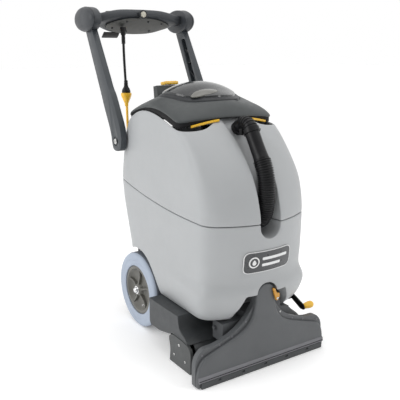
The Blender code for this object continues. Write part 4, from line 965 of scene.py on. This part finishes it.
def ellipse(cy, cz, long, high, tilt=0.0, power=2.0):
    """Ellipse, or with a higher power an oval with fuller corners."""
    points = []
    for a in around(48):
        u = abs(cos(a)) ** (2 / power) * long * (1 if cos(a) >= 0 else -1)
        v = abs(sin(a)) ** (2 / power) * high * (1 if sin(a) >= 0 else -1)
        points.append((cy + u * cos(tilt) - v * sin(tilt), cz + u * sin(tilt) + v * cos(tilt)))
    return points


def cap_cut(outline_points):
    """Drop the arm's top into the cap: points above the cap's lower half go onto its edge."""
    out = []
    for y, z in outline_points:
        u, v = (y - CAP_Y) / (CAP_LONG + 0.001), (z - CAP_Z) / (CAP_HIGH + 0.001)
        reach = hypot(u, v)
        if reach < 1.0 and v > -1:
            z = CAP_Z - (CAP_HIGH + 0.001) * sqrt(max(1 - u * u, 0.0))
        out.append((y, z))
    return out


def cap_rings(side, stations):
    """Rings of a handle cap from (distance out, size)."""
    return [[(side * x, y, z) for y, z in ellipse(CAP_Y, CAP_Z, CAP_LONG * s, CAP_HIGH * s)]
            for x, s in stations]


def make_arms():
    front = [(0.303, 1.000), (0.192, 0.787), (0.174, 0.770), (0.112, 0.660), (0.108, 0.620),
             (0.120, 0.588)]
    back = [(0.165, 0.586), (0.175, 0.603), (0.185, 0.648), (0.232, 0.731), (0.352, 1.000)]
    bends = [0, 0.03, 0.03, 0.03, 0.025, 0.02, 0.02, 0.015, 0.03, 0.03, 0]
    smooth = cap_cut(rounded(front + back, bends, 6))
    pocket = rounded([(0.290, 0.950), (0.212, 0.790), (0.184, 0.762), (0.142, 0.684),
                      (0.174, 0.672), (0.222, 0.745), (0.316, 0.948)], 0.012, 4)
    for side, word in SIDES:
        low, high = sorted((side * ARM_IN, side * ARM_OUT))
        arm = prism("arm_" + word, smooth, "x", low, high, "arm", "handle",
                    replaces=["handle_arm_" + word])
        low, high = sorted((side * (ARM_IN - 0.002), side * (ARM_OUT - 0.006)))
        cutters = [prism("cutter_arm", pocket, "x", low, high, "black", None)]
        hole = slab(0, side * 0.160, 0.0055, side * 0.188)
        cutters.append(turned("cutter_pin", hole, "x", (0, PIVOT_Y, PIVOT_Z), "black", None, 24))
        eye = [(0, side * (ARM_OUT - 0.0035)), (0.015, side * (ARM_OUT - 0.0035)),
               (0.0165, side * (ARM_OUT + 0.002)), (0, side * (ARM_OUT + 0.002))]
        cutters.append(turned("cutter_eye", eye, "x", (0, PIVOT_Y, PIVOT_Z), "black", None, 40))
        subtract(arm, cutters, bevel=0.0022)
        # ribs inside the arm's open channel
        for k, (ya, za, yb, zb) in enumerate(((0.165, 0.690, 0.186, 0.703),
                                              (0.196, 0.735, 0.172, 0.732),
                                              (0.205, 0.775, 0.232, 0.775),
                                              (0.262, 0.835, 0.232, 0.815),
                                              (0.250, 0.868, 0.280, 0.862),
                                              (0.300, 0.915, 0.272, 0.900))):
            a, b = Vector((ya, za)), Vector((yb, zb))
            w = Vector((-(b - a).y, (b - a).x)).normalized() * 0.0012
            lo, hi = sorted((side * (ARM_IN + 0.003), side * (ARM_OUT - 0.007)))
            prism("arm_rib_%s_%d" % (word, k), [a - w, b - w, b + w, a + w], "x", lo, hi, "rib",
                  "handle")
        for k, (y, z) in enumerate(((0.213, 0.742), (0.286, 0.905))):
            screw("arm_screw_%s_%d" % (word, k), (side * (ARM_IN + 0.010), y, z), (-side, 0, 0),
                  "handle", 0.005, "chrome")

        stations = ((0.166, 0.88), (0.1664, 0.955), (0.1676, 0.985), (0.170, 1.0),
                    (0.190, 1.0), (0.194, 0.992), (0.1985, 0.965), (0.2025, 0.915),
                    (0.206, 0.83), (0.2085, 0.71), (0.2102, 0.55), (0.2109, 0.36), (0.211, 0.15))
        loft("cap_" + word, cap_rings(side, stations), "slate", "handle",
             replaces=["handle_cap_" + word])
        bead = ((0.192, 1.000), (0.192, 1.012), (0.1934, 1.010), (0.1936, 0.99))
        loft("cap_bead_" + word, cap_rings(side, bead), "rib", "handle")
        bolt = [(0.0052, 0.1625), (0.0052, 0.1878), (0.0085, 0.188), (0.0092, 0.1886),
                (0.0092, 0.1915), (0.008, 0.193), (0.004, 0.1934), (0.0036, 0.1915), (0, 0.1915)]
        profile = [(0, side * 0.1625)] + on_side(side, bolt)
        turned("pivot_screw_" + word, profile, "x", (0, PIVOT_Y, PIVOT_Z), "steel", "machine", 28,
               replaces=["pivot_bolt_" + word])


def console_section(x):
    rows = [(0.0, 0.350, 1.008, 0.056, 0.018, radians(-35)),
            (0.080, 0.349, 1.008, 0.053, 0.018, radians(-34)),
            (0.125, 0.342, 1.010, 0.041, 0.0175, radians(-26)),
            (0.150, 0.338, 1.012, 0.031, 0.0175, radians(-12)),
            (0.1655, 0.338, 1.013, 0.028, 0.0175, radians(-6))]
    return table(rows, abs(x))


def console_axes(x):
    """Directions along the console's section and out of its top."""
    tilt = console_section(x)[4]
    return Vector((0, cos(tilt), sin(tilt))), Vector((0, -sin(tilt), cos(tilt)))


def console_under(x, gap):
    """Point under the middle of the console."""
    cy, cz, _, high, _ = console_section(x)
    return Vector((x, cy, cz)) - console_axes(x)[1] * (high + gap)


def console_point(x, along, away):
    """Point over the console's top, at a distance along its section."""
    cy, cz, long, high, tilt = console_section(x)
    rise = high * (1 - min(abs(along) / long, 1.0) ** 3) ** (1 / 3) + away
    return Vector((x, cy + along * cos(tilt) - rise * sin(tilt),
                   cz + along * sin(tilt) + rise * cos(tilt)))


def make_console():
    rings = []
    for k in range(41):
        x = -0.1655 + 0.331 * k / 40
        cy, cz, long, high, tilt = console_section(x)
        rings.append([(x, y, z) for y, z in ellipse(cy, cz, long, high, tilt, 3.0)])
    shell = loft("console_shell", rings, "slate", "handle", replaces=["console"])
    hole = slab(0, 0.0, 0.0112, 0.022)
    seat = console_point(0, 0, 0)
    ahead, normal = console_axes(0)
    well = [[Vector((x, seat.y, seat.z)) + ahead * u + normal * w for u, w in
             ((-0.0145, -0.004), (0.0145, -0.004), (0.0145, 0.006), (-0.0145, 0.006))]
            for x in (-0.0105, 0.0105)]
    cutters = [turned("cutter_button", hole, "y", BUTTON_AT, "black", None, 32),
               loft("cutter_switch", well, "black", None)]
    subtract(shell, cutters, bevel=0.001)

    # raised lip round the button
    lip = [(0.0116, 0.002), (0.015, 0.003), (0.016, 0.005), (0.016, 0.010), (0.0116, 0.010)]
    turned("button_bezel", lip, "y", BUTTON_AT, "rib", "handle", 32, ring=True)
    dome = [(0, -0.0006), (0.005, -0.0004), (0.008, 0.0004), (0.0098, 0.0016), (0.0104, 0.0032),
            (0.0104, 0.0098), (0, 0.0098)]
    turned("button_cap", dome, "y", BUTTON_AT, "button", "tilt_button", 32,
           replaces=["tilt_button"])

    rings = []
    for k in range(25):
        x = -0.122 + 0.244 * k / 24
        reach = console_section(x)[2] * 0.80 * sqrt(max(1 - (x / 0.128) ** 2, 0.0))
        ahead, normal = console_axes(x)
        base = console_under(x, 0.0012)
        shape = rounded(slab(-reach, 0, reach, 0.0028), 0.001, 2)
        rings.append([base + ahead * u - normal * w for u, w in shape])
    loft("console_base", rings, "plate", "handle", replaces=["console_plate"])
    for k, (x, u) in enumerate(((-0.094, 0.012), (-0.050, -0.026), (0.032, -0.028),
                                (0.090, -0.018), (0.058, 0.024), (-0.034, 0.028))):
        ahead, normal = console_axes(x)
        screw("console_screw_%d" % k, console_under(x, 0.004) + ahead * u, -normal, "handle",
              0.0042, "rib")
    # beads along the front edge, one on each side of the button
    for word, xs in (("left", (-0.128, -0.10, -0.07, -0.04)),
                     ("right", (0.04, 0.07, 0.10, 0.128))):
        edge = [console_point(x, -0.030, 0.0006) for x in xs]
        tube("console_bead_" + word, through(edge, 4), 0.0016, "rib", "handle", 10)


# ---------------------------------------------------------------- shoe

NECK = [(0.0355, 0.205), (0.0335, 0.232), (0.027, 0.248), (0.014, 0.258), (0.0, 0.261)]
FRONT_EDGE = [(0.233, 0.001), (SHOE_HALF, 0.006), (0.2345, 0.043), (0.228, 0.067),
              (0.214, 0.084), (0.193, 0.093), (0.134, 0.111), (0.090, 0.127),
              (0.060, 0.147), (0.043, 0.172)] + NECK
REAR_EDGE = [(0.233, 0.001), (0.237, 0.006), (0.2375, 0.060), (0.233, 0.084),
             (0.222, 0.100), (0.206, 0.110), (0.171, 0.112), (0.134, 0.122),
             (0.100, 0.137), (0.070, 0.159), (0.048, 0.185)] + NECK


def closed(edge):
    """Smooth one half outline and mirror it; the foot's corner stays crisp."""
    half = edge[:2] + [tuple(p) for p in
                       (v.to_2d() for v in through([(x, z, 0) for x, z in edge[1:]], 5))][1:]
    return half + [(-x, z) for x, z in reversed(half[:-1])]


def shrink(points, by):
    """Move each point of a closed outline inwards along the mean of its two edge normals."""
    out = []
    n = len(points)
    for i in range(n):
        a, p, b = Vector(points[i - 1]), Vector(points[i]), Vector(points[(i + 1) % n])
        na = Vector((-(p - a).y, (p - a).x))
        nb = Vector((-(b - p).y, (b - p).x))
        m = (na.normalized() + nb.normalized())
        m = m.normalized() if m.length > 1e-6 else na.normalized()
        out.append(tuple(p + m * by))
    return out


def shoe_rings(edge, stations):
    """Rings of a shell of the shoe from (shrink, distance behind the shoe's face)."""
    whole = closed(edge)
    return [[(x, SHOE_Y + back, max(z, 0.0012)) for x, z in shrink(whole, by)]
            for by, back in stations]


def make_shoe():
    # the front shell is crowned: it starts at the joint and rounds over onto its face
    stations = ((0.0, 0.010), (0.0, 0.005), (0.0006, 0.0026), (0.002, 0.001), (0.0042, 0.0002),
                (0.0062, 0.0), (0.012, -0.0006), (0.017, -0.0008))
    loft("shoe_face", shoe_rings(FRONT_EDGE, stations), "shoe", "shoe", replaces=["shoe_front"])
    stations = ((0.0014, 0.0104), (0.0, 0.0118), (0.0, 0.028), (0.0016, 0.030))
    loft("shoe_back", shoe_rings(REAR_EDGE, stations), "shoe", "shoe", replaces=["shoe_rear"])
    # screws along the shoulders of the rear flange
    for side, word in SIDES:
        for k, (x, z) in enumerate(((0.215, 0.0935), (0.156, 0.1085), (0.113, 0.123),
                                    (0.064, 0.156))):
            screw("shoe_screw_%s_%d" % (word, k), (side * x, SHOE_Y + 0.0104, z), (0, -1, 0),
                  "shoe", 0.0032, "steel" if side > 0 and k == 3 else "strip")
    # retaining strip and slotted lip
    bar = rounded([(SHOE_Y - 0.004, 0.0185), (SHOE_Y + 0.001, 0.0185), (SHOE_Y + 0.001, 0.0345),
                   (SHOE_Y - 0.0014, 0.0345), (SHOE_Y - 0.004, 0.030)], 0.0012, 3)
    prism("shoe_strip", bar, "x", -0.233, 0.233, "strip", "shoe")
    # painted shade: a thin black bar on the strip's face stands for the shadow inside its groove
    groove = slab(SHOE_Y - 0.0046, 0.0232, SHOE_Y - 0.0032, 0.0256)
    prism("shoe_strip_groove_shade", groove, "x", -0.233, 0.233, "black", "shoe")
    blade = rounded([(SHOE_Y - 0.0066, 0.0014), (SHOE_Y - 0.001, 0.0014), (SHOE_Y - 0.001, 0.0186),
                     (SHOE_Y - 0.0052, 0.0186)], 0.001, 2)
    lip = prism("shoe_blade", blade, "x", -0.226, 0.226, "housing", "shoe", replaces=["shoe_lip"])
    slots = [prism("cutter_slot", slab(x - 0.0052, 0.0105, x + 0.0052, 0.016), "y",
                   SHOE_Y - 0.009, SHOE_Y - 0.003, "black", None)
             for x in (-0.165, -0.082, 0.0, 0.082, 0.165)]
    subtract(lip, slots)

    # amber cam: thick at its pivot, with a finger edge
    cam = [(0.019, 0.244), (0.027, 0.244), (0.035, 0.227), (0.045, 0.2255),
           (0.045, 0.213), (0.039, 0.204), (0.033, 0.204)]
    prism("latch_cam", rounded(cam, 0.003), "y", SHOE_Y - 0.0075, SHOE_Y - 0.001, "amber",
          "shoe_latch", bevel=0.0012, sharp=50, replaces=["shoe_latch"])
    screw("latch_screw", (0.037, SHOE_Y - 0.0074, 0.211), (0, -1, 0), "shoe_latch", 0.0036)


def make_hood():
    """Moulded hood over the brush, with end cheeks, and the brush roll under it."""
    def arc(radius, start, end, count):
        return [(BRUSH_Y + radius * cos(start + (end - start) * i / (count - 1)),
                 BRUSH_Z + 0.002 + radius * sin(start + (end - start) * i / (count - 1)))
                for i in range(count)]

    foot, head = acos(0.017 / 0.058), acos(0.013 / 0.058)
    hood = arc(0.058, radians(-22), foot, 20) + [(-0.253, 0.1495), (-0.257, 0.1495)]
    hood += arc(0.058, head, radians(202), 24) + arc(0.053, radians(202), radians(-22), 41)
    prism("brush_cover", hood, "x", -0.187, 0.200, "housing", replaces=["brush_hood"])
    # moulded skin that closes the space between the hood, the belt guard and the tank
    outer = [(v.x, v.y) for v in through([(-0.312, 0.086, 0), (-0.296, 0.101, 0),
                                          (-0.278, 0.109, 0), (-0.266, 0.120, 0),
                                          (-0.260, 0.137, 0), (-0.257, 0.1572, 0)], 5)]
    skin = outer + [(y + 0.0025, z - 0.0012) for y, z in reversed(outer)]
    prism("brush_skirt", skin, "x", -0.2055, 0.180, "housing", bevel=0.0008)
    side = outer + [(-0.088, 0.1572), (-0.088, 0.080), (-0.095, 0.070), (-0.150, 0.070),
                    (-0.205, 0.0815), (-0.229, 0.0912)]
    prism("brush_skirt_side", side, "x", -0.208, -0.2056, "housing", bevel=0.001)
    roof = rounded(slab(-0.208, -0.257, -0.130, -0.088), 0.004)
    prism("brush_skirt_top", roof, "z", 0.1548, 0.1572, "housing", bevel=0.0008)
    for side, word in SIDES:
        cheek = rounded([(-0.212, 0.0), (-0.328, 0.0), (-0.330, 0.072), (-0.314, 0.085),
                         (-0.2835, 0.089), (-0.229, 0.0905), (-0.207, 0.078), (-0.218, 0.043)],
                        [0.002, 0.006, 0.014, 0.010, 0.006, 0.012, 0.012, 0.02], 5)
        low, high = sorted((side * 0.2006, side * 0.2105))
        prism("cheek_" + word, cheek, "x", low, high, "cheek", bevel=0.0022,
              replaces=["brush_end_plate_" + word])
        for k, (y, z) in enumerate(((-0.268, 0.070), (-0.300, 0.030), (-0.240, 0.030))):
            screw("cheek_screw_%s_%d" % (word, k), (side * 0.2104, y, z), (side, 0, 0), "machine",
                  0.0045 if k == 0 else 0.0036)
    # bristles in eight helical rows round the roll
    verts, faces = [], []
    core, thick = 0.030, 0.0011
    for row in range(8):
        for k in range(62):
            x = -0.1835 + 0.369 * k / 61
            turn = 2 * pi * (row / 8 + 0.5 * k / 61)
            for _ in range(3):
                a = turn + RNG.uniform(-0.11, 0.11)
                dx = RNG.uniform(-0.0025, 0.0025)
                tip = 0.0388 + RNG.uniform(-0.0008, 0.0003)
                lean = RNG.uniform(-0.05, 0.05)
                base = len(verts)
                for radius, angle, wide in ((core - 0.002, a, thick),
                                            (tip, a + lean, thick * 0.6)):
                    c, s = cos(angle), sin(angle)
                    for du, dv in ((-1, -1), (1, -1), (1, 1), (-1, 1)):
                        verts.append((x + dx + du * wide, BRUSH_Y + radius * c - dv * wide * s,
                                      BRUSH_Z + radius * s + dv * wide * c))
                faces += [(base + i, base + (i + 1) % 4, base + 4 + (i + 1) % 4, base + 4 + i)
                          for i in range(4)]
                faces += [tuple(range(base + 4, base + 8)), (base, base + 3, base + 2, base + 1)]
    add("brush_bristles", verts, faces, "fibre", "brush", replaces=["brush_roll"])
    roll = [(0, -0.2085), (0.0055, -0.2085), (0.006, -0.208), (0.006, -0.186),
            (core - 0.002, -0.186), (core, -0.1845), (core, 0.1865), (core - 0.002, 0.188),
            (0.006, 0.188), (0.006, 0.208), (0.0055, 0.2085), (0, 0.2085)]
    turned("brush_core", roll, "x", (0, BRUSH_Y, BRUSH_Z), "black", "brush", 40)


def make_lever():
    bar = rounded([(-0.292, 0.155), (-0.292, 0.142), (-0.347, 0.115), (-0.364, 0.117),
                   (-0.360, 0.132), (-0.304, 0.156)], 0.006, 4)
    prism("lever_bar", bar, "x", 0.1915, 0.1965, "black", "lift_lever", bevel=0.001,
          replaces=["lift_lever"])
    knob = [(0, 0.0), (0.006, 0.0), (0.0072, 0.001), (0.0086, 0.006), (0.0102, 0.014),
            (0.0114, 0.022), (0.0116, 0.028), (0.0108, 0.034), (0.0086, 0.0372),
            (0.005, 0.0384), (0, 0.0386)]
    turned("lever_grip", knob, "x", (0.1968, -0.353, 0.125), "yellow", "lift_lever", 32,
           replaces=["lift_knob"])
    screw("lever_screw", (0.1966, -0.300, 0.148), (1, 0, 0), "lift_lever", 0.005)


def dress_frame():
    """Materials for the CAD nodes that stay as they are."""
    kept = {
        "axle": "steel", "chassis_frame": "paint", "rear_frame": "paint", "lid_hinge_pin": "steel",
        "shoe_carrier": "shoe", "brush_pulley": "steel", "motor_pulley": "steel",
        "drive_belt": "rubber", "brush_motor": "motor", "motor_cover": "housing",
        "vacuum_motor": "motor", "solution_pump": "black", "standpipe": "black",
        "float_ball": "button", "drain_cap": "black", "power_switch": "black",
        "spray_trigger": "black", "lid_latch_bracket": "lid",
    }
    for name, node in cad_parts.items():
        if node.hide_render:
            continue
        slot, finish = MATERIALS[kept[name]]
        node.data.materials.clear()
        node.data.materials.append(finish)


# ---------------------------------------------------------------- stage

def make_stage():
    floor_mat = plastic("floor_white", (0.96, 0.96, 0.96), 0.90, 0.01, 300.0, 0.02)
    mesh = bpy.data.meshes.new("floor")
    mesh.from_pydata([(-30, -30, 0), (30, -30, 0), (30, 30, 0), (-30, 30, 0)], [], [(0, 1, 2, 3)])
    fill(floor_mat.node_tree.nodes["Principled BSDF"], Emission_Color=(1.0, 1.0, 1.0, 1.0),
         Emission_Strength=0.18)
    floor = bpy.data.objects.new("floor", mesh)
    mesh.materials.append(floor_mat)
    bpy.context.collection.objects.link(floor)

    world = bpy.data.worlds.new("studio")
    bpy.context.scene.world = world
    world.use_nodes = True
    nodes, links = world.node_tree.nodes, world.node_tree.links
    fill(nodes["Background"], Color=(1.0, 1.0, 1.0, 1.0))
    # an open white room, dimmer on the side the machine faces
    where = nodes.new("ShaderNodeTexCoord")
    facing = nodes.new("ShaderNodeVectorMath")
    facing.operation = "DOT_PRODUCT"
    facing.inputs[1].default_value = (-0.34, -0.94, 0.0)
    fade = nodes.new("ShaderNodeMapRange")
    fade.interpolation_type = "SMOOTHSTEP"
    fill(fade, From_Min=0.0, From_Max=1.0, To_Min=1.0, To_Max=0.30)
    links.new(where.outputs["Generated"], facing.inputs[0])
    links.new(facing.outputs["Value"], fade.inputs["Value"])
    # the backdrop itself stays white from every side
    ray = nodes.new("ShaderNodeLightPath")
    seen = nodes.new("ShaderNodeMath")
    seen.operation = "MAXIMUM"
    links.new(fade.outputs["Result"], seen.inputs[0])
    links.new(ray.outputs["Is Camera Ray"], seen.inputs[1])
    links.new(seen.outputs["Value"], nodes["Background"].inputs["Strength"])

    def area(name, at, target, size, power, colour=(1, 1, 1)):
        data = bpy.data.lights.new(name, "AREA")
        data.shape = "RECTANGLE"
        data.size, data.size_y = size
        data.energy = power
        data.color = colour
        lamp = bpy.data.objects.new(name, data)
        lamp.location = at
        lamp.rotation_euler = (Vector(target) - Vector(at)).to_track_quat("-Z", "Y").to_euler()
        bpy.context.collection.objects.link(lamp)

    area("key_left", (-3.0, 0.2, 2.0), (0, 0, 0.5), (1.6, 2.2), 28)
    area("top_soft", (0.2, -0.6, 3.2), (0, 0, 0.5), (2.6, 2.6), 16)
    area("right_strip", (1.5, -2.4, 1.9), (0.08, -0.2, 0.6), (0.5, 1.6), 9)
    scene = bpy.context.scene
    scene.view_settings.view_transform = "Standard"
    scene.view_settings.look = "None"


make_camera()
make_cords()
make_tanks()
make_badge()
make_lid()
make_hose()
make_rim_grips()
make_wheels()
make_arms()
make_console()
make_shoe()
make_hood()
make_lever()
dress_frame()
make_stage()
